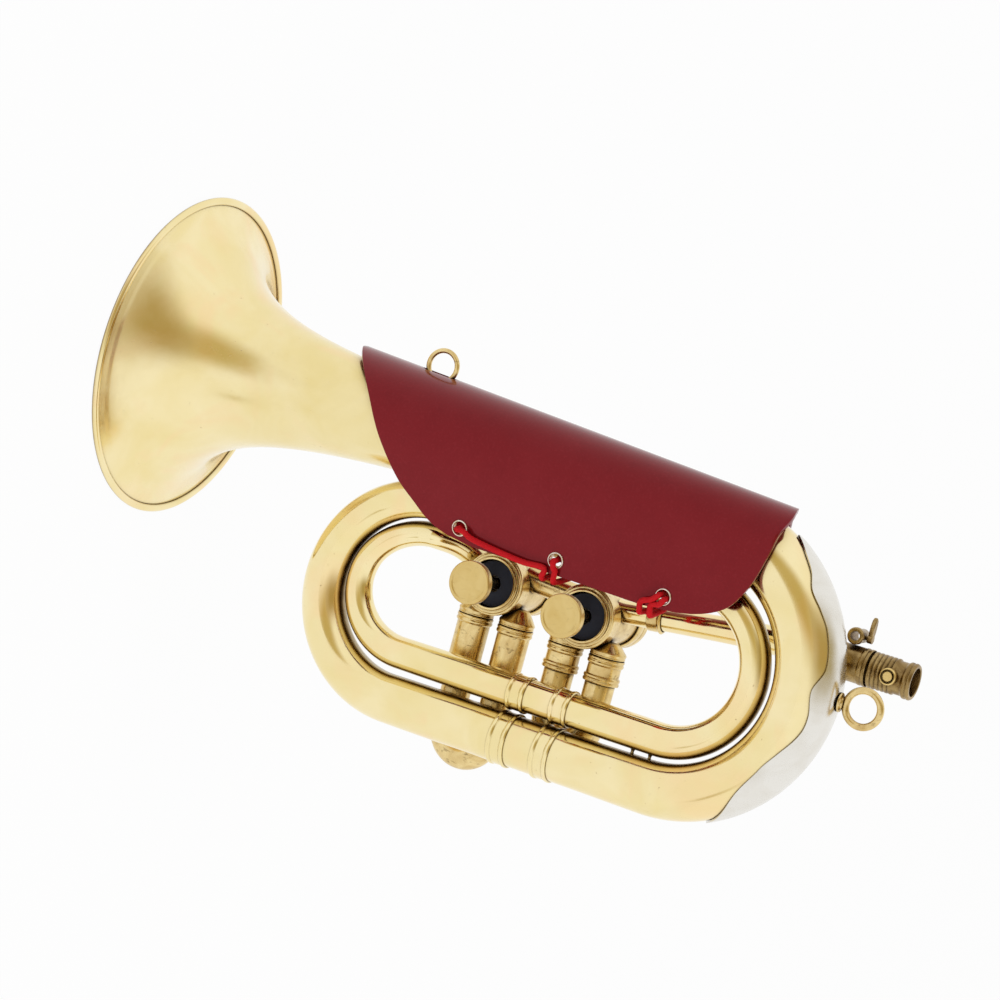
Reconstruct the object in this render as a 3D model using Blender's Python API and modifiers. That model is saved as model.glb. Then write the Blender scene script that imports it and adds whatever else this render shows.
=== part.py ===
"""Valved bugle: a two-piston brass bugle with a laced leather hand guard, standing on its bell.

The pieces are placed in the instrument's own axes: X runs along the bell tube towards the mouthpiece end,
Y from the bottom of the loops up to the bell tube, and Z along the valves towards the buttons. One empty
carries them all and stands the bugle on the flat of its bell rim, with the buttons to the front.
"""

import math

import bmesh
import bpy
from mathutils import Matrix, Vector

MM = 0.001
GAP = 0.3 * MM  # left between pieces that touch or are soldered on the real bugle
WALL = 0.6 * MM  # sheet of the tubes and the bell

# Bell and bell tube
RIM_X = -141.4 * MM
RIM_RADIUS = 59.0 * MM
RIM_WIRE_RADIUS = 1.25 * MM
BELL_LENGTH = 121.0 * MM
BELL_NARROW = 11.2 * MM
FLARE_SCALE = 28.0 * MM
FLARE_POWER = 1.5
BELL_TUBE_DROP = 4.0 * MM  # fall of the bell tube's axis from the rim to the right bow
BELL_TUBE_RADIUS_RIGHT = 12.0 * MM

# Loops: two nested ovals, bows centred at these two stations
LEFT_BOW_X = -29.0 * MM
RIGHT_BOW_X = 72.0 * MM
SECOND_TUBE_Y = -24.3 * MM
INNER_LOWER_Y = -78.8 * MM
OUTER_LOWER_Y = -95.4 * MM
THIRD_TUBE_Y = -36.2 * MM
RIGHT_BOW_RADIUS = 11.3 * MM
OUTER_LOWER_RADIUS = 8.95 * MM
LEFT_BOW_RADIUS = 7.6 * MM
SECOND_TUBE_RADIUS_LEFT = 6.4 * MM
SECOND_TUBE_RADIUS_RIGHT = 6.0 * MM
INNER_RIGHT_BOW_RADIUS = 5.5 * MM
INNER_LOWER_RADIUS = 5.9 * MM
INNER_LOWER_RADIUS_LEFT = 5.6 * MM
INNER_LEFT_BOW_RADIUS = 4.7 * MM
INNER_LEFT_BOW_REACH = 22.4 * MM
BOW_END = 3.0 * MM  # straight part past the ends of a bow
OUTER_FERRULE_X = (18.7 * MM, 35.4 * MM)
INNER_FERRULE_X = (19.7 * MM, 36.4 * MM)
FERRULE_WIDTH = 6.6 * MM
FERRULE_BEAD = 0.55 * MM
FERRULE_GAP = 0.2 * MM
FERRULE_ROUND = 1.0 * MM

# Valves
VALVE_X = (-4.0 * MM, 32.1 * MM)
VALVE_Y = (-46.3 * MM, -47.6 * MM)
CAP_TOP_Z = -4.0 * MM
CAP_HEIGHT = 9.0 * MM
CAP_RADIUS = 11.25 * MM
CAP_RECESS_RADIUS = 9.7 * MM
CAP_RECESS_DEPTH = 3.4 * MM
CAP_WEB = 1.2 * MM
CASING_RADIUS = 9.9 * MM
CASING_WALL = 1.2 * MM
BOTTOM_CAP_RADIUS = 11.0 * MM
BOTTOM_CAP_HEIGHT = 8.0 * MM
BOTTOM_CAP_FLOOR = 2.2 * MM
PISTON_LENGTH = 13.0 * MM
STROKE = 12.5 * MM
SPRING_CLOSED = 2.5 * MM  # height that is left for the closed spring
STEM_RADIUS = 2.0 * MM
STEM_HOLE_RADIUS = 2.5 * MM
BUTTON_RADIUS = 7.6 * MM
BUTTON_HEIGHT = 4.4 * MM
BUTTON_TOP_Z = 14.2 * MM
FELT_THICKNESS = 1.6 * MM
SPRING_WIRE_RADIUS = 0.4 * MM
SPRING_RADIUS_TOP = 5.2 * MM
SPRING_ROOM = 1.9 * MM  # from the middle of the coil's wire to the casing's wall
SPRING_RADIUS_BOTTOM = CASING_RADIUS - CASING_WALL - SPRING_ROOM
SPRING_TURNS = 4
PISTON_TOP_Z = CAP_TOP_Z - CAP_RECESS_DEPTH - CAP_WEB - 3 * GAP
CASING_BOTTOM_Z = PISTON_TOP_Z - PISTON_LENGTH - STROKE - SPRING_CLOSED

# Air ports of the valves, above the valve axis, and the leadpipe
PORT_Y_OFFSET = 4.2 * MM
PORT_Z = -18.0 * MM
PORT_PIPE_RADIUS = 4.4 * MM
LEADPIPE_Z = -19.0 * MM
LEADPIPE_RADIUS_VALVE = 4.0 * MM
LEADPIPE_RADIUS_END = 5.2 * MM
LEADPIPE_END_X = RIGHT_BOW_X + 45.0 * MM
SOCKET_END_X = RIGHT_BOW_X + 59.0 * MM
RECEIVER_Y = -36.6 * MM
SOCKET_RADIUS = 6.2 * MM
SHANK_END_X = RIGHT_BOW_X + 75.0 * MM
SHANK_RADIUS = 5.7 * MM
SHANK_BORE_RADIUS = 4.9 * MM
SHANK_RIM_RADIUS = 6.3 * MM
SHANK_TRAVEL = 8.0 * MM
SHANK_HOLD = 2.0 * MM  # left in the socket when the shank is pulled out
SHANK_INSERT = SHANK_TRAVEL + SHANK_HOLD
SHANK_RINGS = 6
SHANK_RING_PITCH = 1.55 * MM
STUD_X = RIGHT_BOW_X + 67.6 * MM
STUD_RADIUS = 2.9 * MM
LYRE_X = RIGHT_BOW_X + 52.2 * MM
LYRE_RADIUS = 2.9 * MM
LYRE_HOLE_RADIUS = 1.6 * MM
LYRE_HEIGHT = 9.0 * MM

# Valve slides
LEG_OFFSET = 8.0 * MM
LEG_Z = -16.4 * MM
LEG_RADIUS = 5.9 * MM
LEG_WALL = 0.55 * MM
LEG_TOP_Y = -60.0 * MM
LEG_END_Y = (-84.0 * MM, -69.0 * MM)
COLLAR_RISE = 0.6 * MM
COLLAR_RADIUS = LEG_RADIUS + COLLAR_RISE
COLLAR_WIDTH = 2.4 * MM
SLIDE_ROOM = 0.45 * MM  # between a slide and the leg that it runs in
SLIDE_RADIUS = LEG_RADIUS - LEG_WALL - SLIDE_ROOM
SLIDE_BOW_STEP = 0.5 * MM
SLIDE_BOW_RADIUS = SLIDE_RADIUS + SLIDE_BOW_STEP
SLIDE_BOW_Y = (-100.4 * MM, -84.6 * MM)
SLIDE_TRAVEL = (12.0 * MM, 5.0 * MM)
SLIDE_HOLD = (4.0 * MM, 2.4 * MM)  # left in the legs when a slide is pulled out

# Guard on the right bow: half of its angle round the tube at stations along the bow, all in degrees
GUARD_THICKNESS = 0.6 * MM
GUARD_EDGE = ((52, 2), (44, 22), (31, 36), (22, 42), (12, 32), (0, 20), (-8, 26), (-15, 47),
              (-24, 40), (-32, 36), (-40, 48), (-52, 44), (-62, 26), (-72, 2))
RING_RADIUS = 6.0 * MM
RING_WIRE_RADIUS = 1.25 * MM
RING_ANGLE = math.radians(1.5)
TOP_RING_X = -41.5 * MM
TOP_RING_RADIUS = 5.5 * MM
TOP_RING_WIRE_RADIUS = 0.9 * MM

# Leather hand guard, its eyelets and the lacing
LEATHER = 1.8 * MM
LEATHER_X = (-74.0 * MM, RIGHT_BOW_X + 26.0 * MM)
LEATHER_TOP_Y = (20.4 * MM, 8.0 * MM)
LEATHER_RADIUS = (20.0 * MM, 13.2 * MM)
LEATHER_EDGE_Z = 9.6 * MM
FRONT_FLAP_Y = (-33.0 * MM, -37.0 * MM)
BACK_FLAP_Y = (-30.5 * MM, -32.0 * MM)
LEATHER_LEFT = ((0.0, -71.0), (0.2, -65.0), (0.33, -58.5), (0.51, -48.7), (0.7, -38.7), (0.84, -27.0),
                (0.92, -15.0), (1.0, 2.0))  # (share of the way down a flap, x in mm) along the ends
LEATHER_RIGHT = ((0.0, 25.6), (0.14, 27.0), (0.32, 27.5), (0.55, 25.5), (0.755, 21.9), (0.89, 11.4),
                 (0.96, 0.0), (1.0, -12.0))  # (the same share, mm beyond the right bow's centre)
EYELET_X = (-13.6 * MM, 24.0 * MM, RIGHT_BOW_X - 7.1 * MM)
EYELET_UP = 5.0 * MM
EYELET_RADIUS = 3.0 * MM
EYELET_HOLE_RADIUS = 2.3 * MM
EYELET_WALL = 0.3 * MM
EYELET_FLANGE = 0.5 * MM
LACE_RADIUS = 0.9 * MM
LACE_EDGE_X = (20.4 * MM, 24.9 * MM, RIGHT_BOW_X - 12.5 * MM)
LACE_UNDER_Y = -36.2 * MM
LACE_INSIDE_Z = 7.3 * MM

SIDES_LARGE = 16
SIDES_SMALL = 12

BRASS = ("polished_brass", (0.86, 0.66, 0.30), 1.0, 0.16)
AGED = ("aged_brass", (0.52, 0.38, 0.17), 1.0, 0.36)
NICKEL = ("nickel_silver", (0.80, 0.79, 0.76), 1.0, 0.22)
STEEL = ("spring_steel", (0.55, 0.55, 0.56), 1.0, 0.3)
FELT = ("blue_felt", (0.02, 0.025, 0.05), 0.0, 0.95)
LEATHER_RED = ("burgundy_leather", (0.24, 0.015, 0.025), 0.0, 0.38)
CORD_RED = ("red_cord", (0.62, 0.01, 0.02), 0.0, 0.7)
EYELET_METAL = ("eyelet_nickel", (0.85, 0.80, 0.70), 1.0, 0.25)


def clear_scene():
    for obj in list(bpy.data.objects):
        bpy.data.objects.remove(obj, do_unlink=True)


def new_collection(name):
    collection = bpy.data.collections.new(name)
    bpy.context.scene.collection.children.link(collection)
    return collection


def material_of(spec):
    name, colour, metallic, roughness = spec
    material = bpy.data.materials.get(name)
    if material is None:
        material = bpy.data.materials.new(name)
        material.use_nodes = True
        shader = material.node_tree.nodes["Principled BSDF"]
        shader.inputs["Base Color"].default_value = (*colour, 1.0)
        shader.inputs["Metallic"].default_value = metallic
        shader.inputs["Roughness"].default_value = roughness
        material.diffuse_color = (*colour, 1.0)
    return material


clear_scene()
PARTS = new_collection("valved_bugle")
CUTTERS = new_collection("cutters")
FRAME = bpy.data.objects.new("instrument_axes", None)
PARTS.objects.link(FRAME)


def add_part(name, mesh, spec, parent=None):
    """Links a mesh as a part in the instrument's axes."""
    obj = bpy.data.objects.new(name, mesh)
    PARTS.objects.link(obj)
    mesh.materials.clear()
    mesh.materials.append(material_of(spec))
    obj.parent = parent or FRAME
    return obj


def add_cutter(name, mesh):
    obj = bpy.data.objects.new(name, mesh)
    CUTTERS.objects.link(obj)
    obj.hide_render = True
    obj.display_type = "WIRE"
    obj.parent = FRAME
    return obj


def shade(mesh, angle=35):
    mesh.shade_smooth()
    mesh.set_sharp_from_angle(angle=math.radians(angle))


def blend_points(points, x):
    """Height at x of a smooth curve through (x, height) points, given in rising or falling order of x."""
    points = sorted(points)
    x = min(max(x, points[0][0]), points[-1][0])
    for i in range(len(points) - 1):
        if x <= points[i + 1][0]:
            break
    (x0, y0), (x1, y1) = points[i], points[i + 1]
    before = points[max(i - 1, 0)]
    after = points[min(i + 2, len(points) - 1)]
    slope0 = (y1 - before[1]) / (x1 - before[0])
    slope1 = (after[1] - y0) / (after[0] - x0)
    width = x1 - x0
    t = (x - x0) / width
    return (
        (2 * t**3 - 3 * t**2 + 1) * y0
        + (t**3 - 2 * t**2 + t) * width * slope0
        + (3 * t**2 - 2 * t**3) * y1
        + (t**3 - t**2) * width * slope1
    )


def smooth_step(t):
    t = min(max(t, 0.0), 1.0)
    return t * t * (3 - 2 * t)


def smooth_path(points, per_span):
    """Points along a smooth curve through the given ones."""
    points = [Vector(p) for p in points]
    ends = [2 * points[0] - points[1]] + points + [2 * points[-1] - points[-2]]
    path = []
    for i in range(1, len(ends) - 2):
        a, b, c, d = ends[i - 1 : i + 3]
        for k in range(per_span):
            t = k / per_span
            bend = 2 * a - 5 * b + 4 * c - d
            twist = 3 * b - a - 3 * c + d
            path.append(0.5 * (2 * b + (c - a) * t + bend * t * t + twist * t**3))
    path.append(points[-1])
    return path


def spaced(points, least):
    """The points that lie at least so far from the one kept before, and the last."""
    kept = [points[0]]
    for point in points[1:-1]:
        if (point - kept[-1]).length >= least:
            kept.append(point)
    return kept + [points[-1]]


def arc(centre, radius, start, end, count, z=0.0):
    """Points of an arc in the plane of the loops, angles in degrees from the mouthpiece direction."""
    points = []
    for k in range(count + 1):
        angle = math.radians(start + (end - start) * k / count)
        points.append(Vector((centre[0] + radius * math.cos(angle), centre[1] + radius * math.sin(angle), z)))
    return points


def along(points, marks):
    """A radius for each point, read from (share of the length, radius) marks."""
    lengths = [0.0]
    for a, b in zip(points, points[1:]):
        lengths.append(lengths[-1] + (Vector(b) - Vector(a)).length)
    shares = [length / lengths[-1] for length in lengths]
    radii = []
    for share in shares:
        for (s0, r0), (s1, r1) in zip(marks, marks[1:]):
            if share <= s1 + 1e-9:
                radii.append(r0 + (r1 - r0) * (share - s0) / (s1 - s0))
                break
    return radii


def swept_mesh(points, radii, sides, capped, cyclic=False):
    """A mesh swept along points, with a radius at each."""
    curve = bpy.data.curves.new("sweep", "CURVE")
    curve.dimensions = "3D"
    curve.bevel_depth = MM
    curve.bevel_resolution = sides // 2 - 2
    curve.use_fill_caps = capped
    spline = curve.splines.new("POLY")
    spline.points.add(len(points) - 1)
    spline.use_cyclic_u = cyclic
    for point, place, radius in zip(spline.points, points, radii):
        point.co = (*place, 1.0)
        point.radius = radius / MM
    obj = bpy.data.objects.new("sweep", curve)
    PARTS.objects.link(obj)
    graph = bpy.context.evaluated_depsgraph_get()
    mesh = bpy.data.meshes.new_from_object(obj.evaluated_get(graph))
    bpy.data.objects.remove(obj, do_unlink=True)
    shell = bmesh.new()
    shell.from_mesh(mesh)
    bmesh.ops.remove_doubles(shell, verts=shell.verts, dist=0.00001)
    bmesh.ops.recalc_face_normals(shell, faces=shell.faces)
    shell.to_mesh(mesh)
    shell.free()
    return mesh


def tube(name, points, radii, spec, sides=SIDES_LARGE, wall=WALL, parent=None):
    """A hollow tube, open at both ends."""
    mesh = swept_mesh(points, radii, sides, capped=False)
    shade(mesh)
    obj = add_part(name, mesh, spec, parent)
    solidify = obj.modifiers.new("wall", "SOLIDIFY")
    solidify.thickness = wall
    solidify.offset = -1.0
    solidify.use_even_offset = True
    return obj


def rod(name, points, radius, spec, sides=SIDES_SMALL, cyclic=False, parent=None):
    mesh = swept_mesh(points, [radius] * len(points), sides, capped=not cyclic, cyclic=cyclic)
    shade(mesh)
    return add_part(name, mesh, spec, parent)


def turned_mesh(profile, closed):
    """A mesh holding the profile's edges, from (radius, height) points that run down the outer side."""
    mesh = bpy.data.meshes.new("profile")
    outline = bmesh.new()
    verts = [outline.verts.new((radius, 0.0, height)) for radius, height in profile]
    for a, b in zip(verts, verts[1:]):
        outline.edges.new((a, b))
    if closed:
        outline.edges.new((verts[-1], verts[0]))
    outline.to_mesh(mesh)
    outline.free()
    return mesh


def turned(name, profile, spec, place, axis=(0, 0, 1), steps=SIDES_LARGE, closed=True, parent=None):
    """A turned piece: closed profiles are rings, open ones begin and end on the axis."""
    mesh = turned_mesh(profile, closed)
    obj = add_part(name, mesh, spec, parent) if spec else add_cutter(name, mesh)
    obj.location = place
    obj.rotation_mode = "QUATERNION"
    obj.rotation_quaternion = Vector((0, 0, 1)).rotation_difference(Vector(axis))
    screw = obj.modifiers.new("turn", "SCREW")
    screw.steps = steps
    screw.render_steps = steps
    screw.use_merge_vertices = True
    screw.merge_threshold = 0.00001
    screw.use_smooth_shade = True
    screw.use_normal_calculate = False
    return obj


def cylinder_cutter(name, start, end, radius, sides=SIDES_LARGE):
    start, end = Vector(start), Vector(end)
    length = (end - start).length
    shape = bmesh.new()
    bmesh.ops.create_cone(shape, cap_ends=True, segments=sides, radius1=radius, radius2=radius, depth=length)
    turn = Vector((0, 0, 1)).rotation_difference(end - start).to_matrix().to_4x4()
    bmesh.ops.transform(shape, matrix=Matrix.Translation((start + end) / 2) @ turn, verts=shape.verts)
    mesh = bpy.data.meshes.new(name)
    shape.to_mesh(mesh)
    shape.free()
    return add_cutter(name, mesh)


def cut(obj, cutter, operation="DIFFERENCE"):
    modifier = obj.modifiers.new(operation.lower() + "_" + cutter.name, "BOOLEAN")
    modifier.operation = operation
    modifier.object = cutter
    modifier.solver = "EXACT"
    return modifier


def bell_radius(s):
    """Radius of the bell at a distance s from its rim."""
    rim = RIM_RADIUS - 2 * RIM_WIRE_RADIUS - GAP
    return BELL_NARROW + (rim - BELL_NARROW) * (1 + s / FLARE_SCALE) ** -FLARE_POWER


BELL_TUBE_END = Vector((RIGHT_BOW_X, -BELL_TUBE_DROP, 0.0))
RIM_CENTRE = Vector((RIM_X, 0.0, 0.0))
BELL_AXIS = (BELL_TUBE_END - RIM_CENTRE).normalized()
BELL_TUBE_LENGTH = (BELL_TUBE_END - RIM_CENTRE).length


def bell_axis_point(s):
    return RIM_CENTRE + BELL_AXIS * s


def bell_tube_radius(s):
    """Radius of the bell and the bell tube at a distance s from the rim."""
    if s <= BELL_LENGTH:
        return bell_radius(s)
    start = bell_radius(BELL_LENGTH)
    share = (s - BELL_LENGTH) / (BELL_TUBE_LENGTH - BELL_LENGTH)
    return start + (BELL_TUBE_RADIUS_RIGHT - start) * share


def make_bell():
    count = 9
    stations = [BELL_LENGTH * (k / count) ** 2.2 for k in range(count + 1)]
    outer = [(bell_radius(s), s) for s in reversed(stations)]
    inner = [(bell_radius(s) - WALL, s) for s in stations]
    inner[0] = (bell_radius(0) - 0.3 * MM, 0.0)
    turned("bell", outer + inner, BRASS, RIM_CENTRE, BELL_AXIS, steps=26)
    ring = RIM_RADIUS - RIM_WIRE_RADIUS
    bead = []
    for k in range(6):
        angle = math.radians(60 - 60 * k)
        bead.append((ring + RIM_WIRE_RADIUS * math.cos(angle), RIM_WIRE_RADIUS * math.sin(angle)))
    turned("bell_rim_wire", bead, BRASS, RIM_CENTRE, BELL_AXIS, steps=32)


def make_outer_loop():
    top_y = BELL_TUBE_END.y
    right_radius = (top_y - OUTER_LOWER_Y) / 2
    right_centre = (RIGHT_BOW_X, (top_y + OUTER_LOWER_Y) / 2)
    bow = arc(right_centre, right_radius, -90, 90, 12)
    tail = bell_axis_point(BELL_LENGTH + GAP)
    points = [Vector((OUTER_FERRULE_X[1] + GAP / 2, OUTER_LOWER_Y, 0))] + bow + [tail]
    start = OUTER_LOWER_RADIUS
    total = sum((b - a).length for a, b in zip(points, points[1:]))
    low = (RIGHT_BOW_X - OUTER_FERRULE_X[1]) / total
    turn = math.pi * right_radius / total
    marks = ((0, start), (low, start + 0.4 * MM), (low + turn / 2, RIGHT_BOW_RADIUS),
             (low + turn, BELL_TUBE_RADIUS_RIGHT), (1, bell_tube_radius(BELL_LENGTH)))
    tube("outer_right_bow", points, along(points, marks), BRASS)

    left_radius = (SECOND_TUBE_Y - OUTER_LOWER_Y) / 2
    left_centre = (LEFT_BOW_X, (SECOND_TUBE_Y + OUTER_LOWER_Y) / 2)
    bow = arc(left_centre, left_radius, 90, 270, 10)
    start = Vector((LEFT_BOW_X + BOW_END, SECOND_TUBE_Y, 0))
    points = [start] + bow + [Vector((OUTER_FERRULE_X[0] - GAP / 2, OUTER_LOWER_Y, 0))]
    marks = ((0, SECOND_TUBE_RADIUS_LEFT), (0.35, LEFT_BOW_RADIUS), (0.72, OUTER_LOWER_RADIUS - 0.2 * MM),
             (1, OUTER_LOWER_RADIUS))
    tube("outer_left_bow", points, along(points, marks), BRASS)

    sleeve = [Vector((OUTER_FERRULE_X[0] + GAP / 2, OUTER_LOWER_Y, 0)),
              Vector((OUTER_FERRULE_X[1] - GAP / 2, OUTER_LOWER_Y, 0))]
    tube("outer_sleeve", sleeve, [OUTER_LOWER_RADIUS] * 2, BRASS)
    for side, x in zip(("left", "right"), OUTER_FERRULE_X):
        make_ferrule("outer_ferrule_" + side, Vector((x, OUTER_LOWER_Y, 0)), OUTER_LOWER_RADIUS)


def make_ferrule(name, place, radius):
    """A sleeve with a bead at each end, over the joint of two tubes."""
    inside = radius + FERRULE_GAP
    half = FERRULE_WIDTH / 2
    bead = FERRULE_ROUND
    band = inside + 0.2 * MM
    crown = inside + FERRULE_BEAD
    profile = [(crown, half), (crown, half - 1.2 * bead), (band, half - 1.5 * bead),
               (band, 1.5 * bead - half), (crown, 1.2 * bead - half), (crown, -half),
               (inside, -half), (inside, half)]
    turned(name, profile, BRASS, place, (1, 0, 0), steps=16)


def make_second_tube():
    ends = (LEFT_BOW_X + BOW_END + GAP, RIGHT_BOW_X - BOW_END - GAP)
    points = [Vector((x, SECOND_TUBE_Y, 0)) for x in ends]
    radii = [SECOND_TUBE_RADIUS_LEFT, SECOND_TUBE_RADIUS_RIGHT]
    tube("second_top_tube", points, radii, BRASS, SIDES_SMALL)


def make_inner_loop():
    radius = (SECOND_TUBE_Y - INNER_LOWER_Y) / 2
    centre = (RIGHT_BOW_X, (SECOND_TUBE_Y + INNER_LOWER_Y) / 2)
    bow = arc(centre, radius, -90, 90, 9)
    start = Vector((INNER_FERRULE_X[1] + GAP / 2, INNER_LOWER_Y, 0))
    points = [start] + bow + [Vector((RIGHT_BOW_X - BOW_END, SECOND_TUBE_Y, 0))]
    marks = ((0, INNER_LOWER_RADIUS), (0.28, INNER_LOWER_RADIUS), (0.5, INNER_RIGHT_BOW_RADIUS),
             (0.8, INNER_RIGHT_BOW_RADIUS), (1, SECOND_TUBE_RADIUS_RIGHT))
    tube("inner_right_bow", points, along(points, marks), BRASS, SIDES_SMALL)

    sleeve = [Vector((INNER_FERRULE_X[0] + GAP / 2, INNER_LOWER_Y, 0)),
              Vector((INNER_FERRULE_X[1] - GAP / 2, INNER_LOWER_Y, 0))]
    tube("inner_sleeve", sleeve, [INNER_LOWER_RADIUS] * 2, BRASS, SIDES_SMALL)
    for side, x in zip(("left", "right"), INNER_FERRULE_X):
        make_ferrule("inner_ferrule_" + side, Vector((x, INNER_LOWER_Y, 0)), INNER_LOWER_RADIUS)

    port = port_point(0, -1)
    height = (THIRD_TUBE_Y - INNER_LOWER_Y) / 2
    middle = (THIRD_TUBE_Y + INNER_LOWER_Y) / 2
    path = [Vector((INNER_FERRULE_X[0] - GAP / 2, INNER_LOWER_Y, 0))]
    count = 9
    for k in range(count + 1):
        share = k / count
        angle = math.radians(-90 - 180 * share)
        depth = 0.22 * port.z * smooth_step((share - 0.6) / 0.4)
        x = LEFT_BOW_X + INNER_LEFT_BOW_REACH * math.cos(angle)
        path.append(Vector((x, middle + height * math.sin(angle), depth)))
    path += smooth_path([path[-1], (LEFT_BOW_X + 7 * MM, THIRD_TUBE_Y - 1.2 * MM, 0.55 * port.z),
                         port + Vector((-3.5 * MM, 0.9 * MM, 2.0 * MM)), port], 2)[1:]
    marks = ((0, INNER_LOWER_RADIUS), (0.4, INNER_LOWER_RADIUS_LEFT), (0.6, INNER_LEFT_BOW_RADIUS),
             (1, PORT_PIPE_RADIUS))
    bow = tube("inner_left_bow", path, along(path, marks), BRASS, SIDES_SMALL)
    cut(bow, casing_clearance(0, "inner_left_bow"))


def port_point(valve, side):
    """Centre of a pipe's mouth on the casing's wall, side -1 towards the bell and 1 the other way."""
    reach = math.sqrt(CASING_RADIUS**2 - PORT_Y_OFFSET**2) - 1.5 * MM
    return Vector((VALVE_X[valve] + side * reach, VALVE_Y[valve] + PORT_Y_OFFSET, PORT_Z))


def casing_clearance(valve, user):
    """A cutter that trims a pipe to the outside of a casing and its top cap."""
    shoulder = CAP_TOP_Z - CAP_HEIGHT - GAP
    cap, wall = CAP_RADIUS + GAP, CASING_RADIUS + GAP
    outline = [(0, CAP_TOP_Z), (cap, CAP_TOP_Z), (cap, shoulder), (wall, shoulder),
               (wall, CASING_BOTTOM_Z), (0, CASING_BOTTOM_Z)]
    place = (VALVE_X[valve], VALVE_Y[valve], 0)
    return turned(f"clear_{user}", outline, None, place, steps=20, closed=False)


def make_pipes():
    start = port_point(1, 1)
    route = [start, start + Vector((14 * MM, 1.6 * MM, -0.6 * MM)), (86 * MM, -37.9 * MM, LEADPIPE_Z),
             (104 * MM, RECEIVER_Y - 0.4 * MM, LEADPIPE_Z), (LEADPIPE_END_X, RECEIVER_Y, LEADPIPE_Z)]
    path = smooth_path(route, 2)
    marks = ((0, LEADPIPE_RADIUS_VALVE), (1, LEADPIPE_RADIUS_END))
    leadpipe = tube("leadpipe", path, along(path, marks), BRASS, SIDES_SMALL)
    cut(leadpipe, casing_clearance(1, "leadpipe"))
    inside = LEADPIPE_RADIUS_VALVE + 0.3 * MM + GAP
    collar = [(inside + 0.5 * MM, 2.6 * MM), (inside + 0.9 * MM, 2.0 * MM), (inside + 0.5 * MM, 1.2 * MM),
              (inside + 0.5 * MM, -2.6 * MM), (inside, -2.6 * MM), (inside, 2.6 * MM)]
    turned("leadpipe_ferrule", collar, AGED, path[2], path[3] - path[1], SIDES_LARGE)

    left, right = port_point(0, 1), port_point(1, -1)
    knuckle = tube("valve_knuckle", [left, right], [PORT_PIPE_RADIUS] * 2, AGED, SIDES_SMALL)
    cut(knuckle, casing_clearance(0, "knuckle_left"))
    cut(knuckle, casing_clearance(1, "knuckle_right"))


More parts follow.
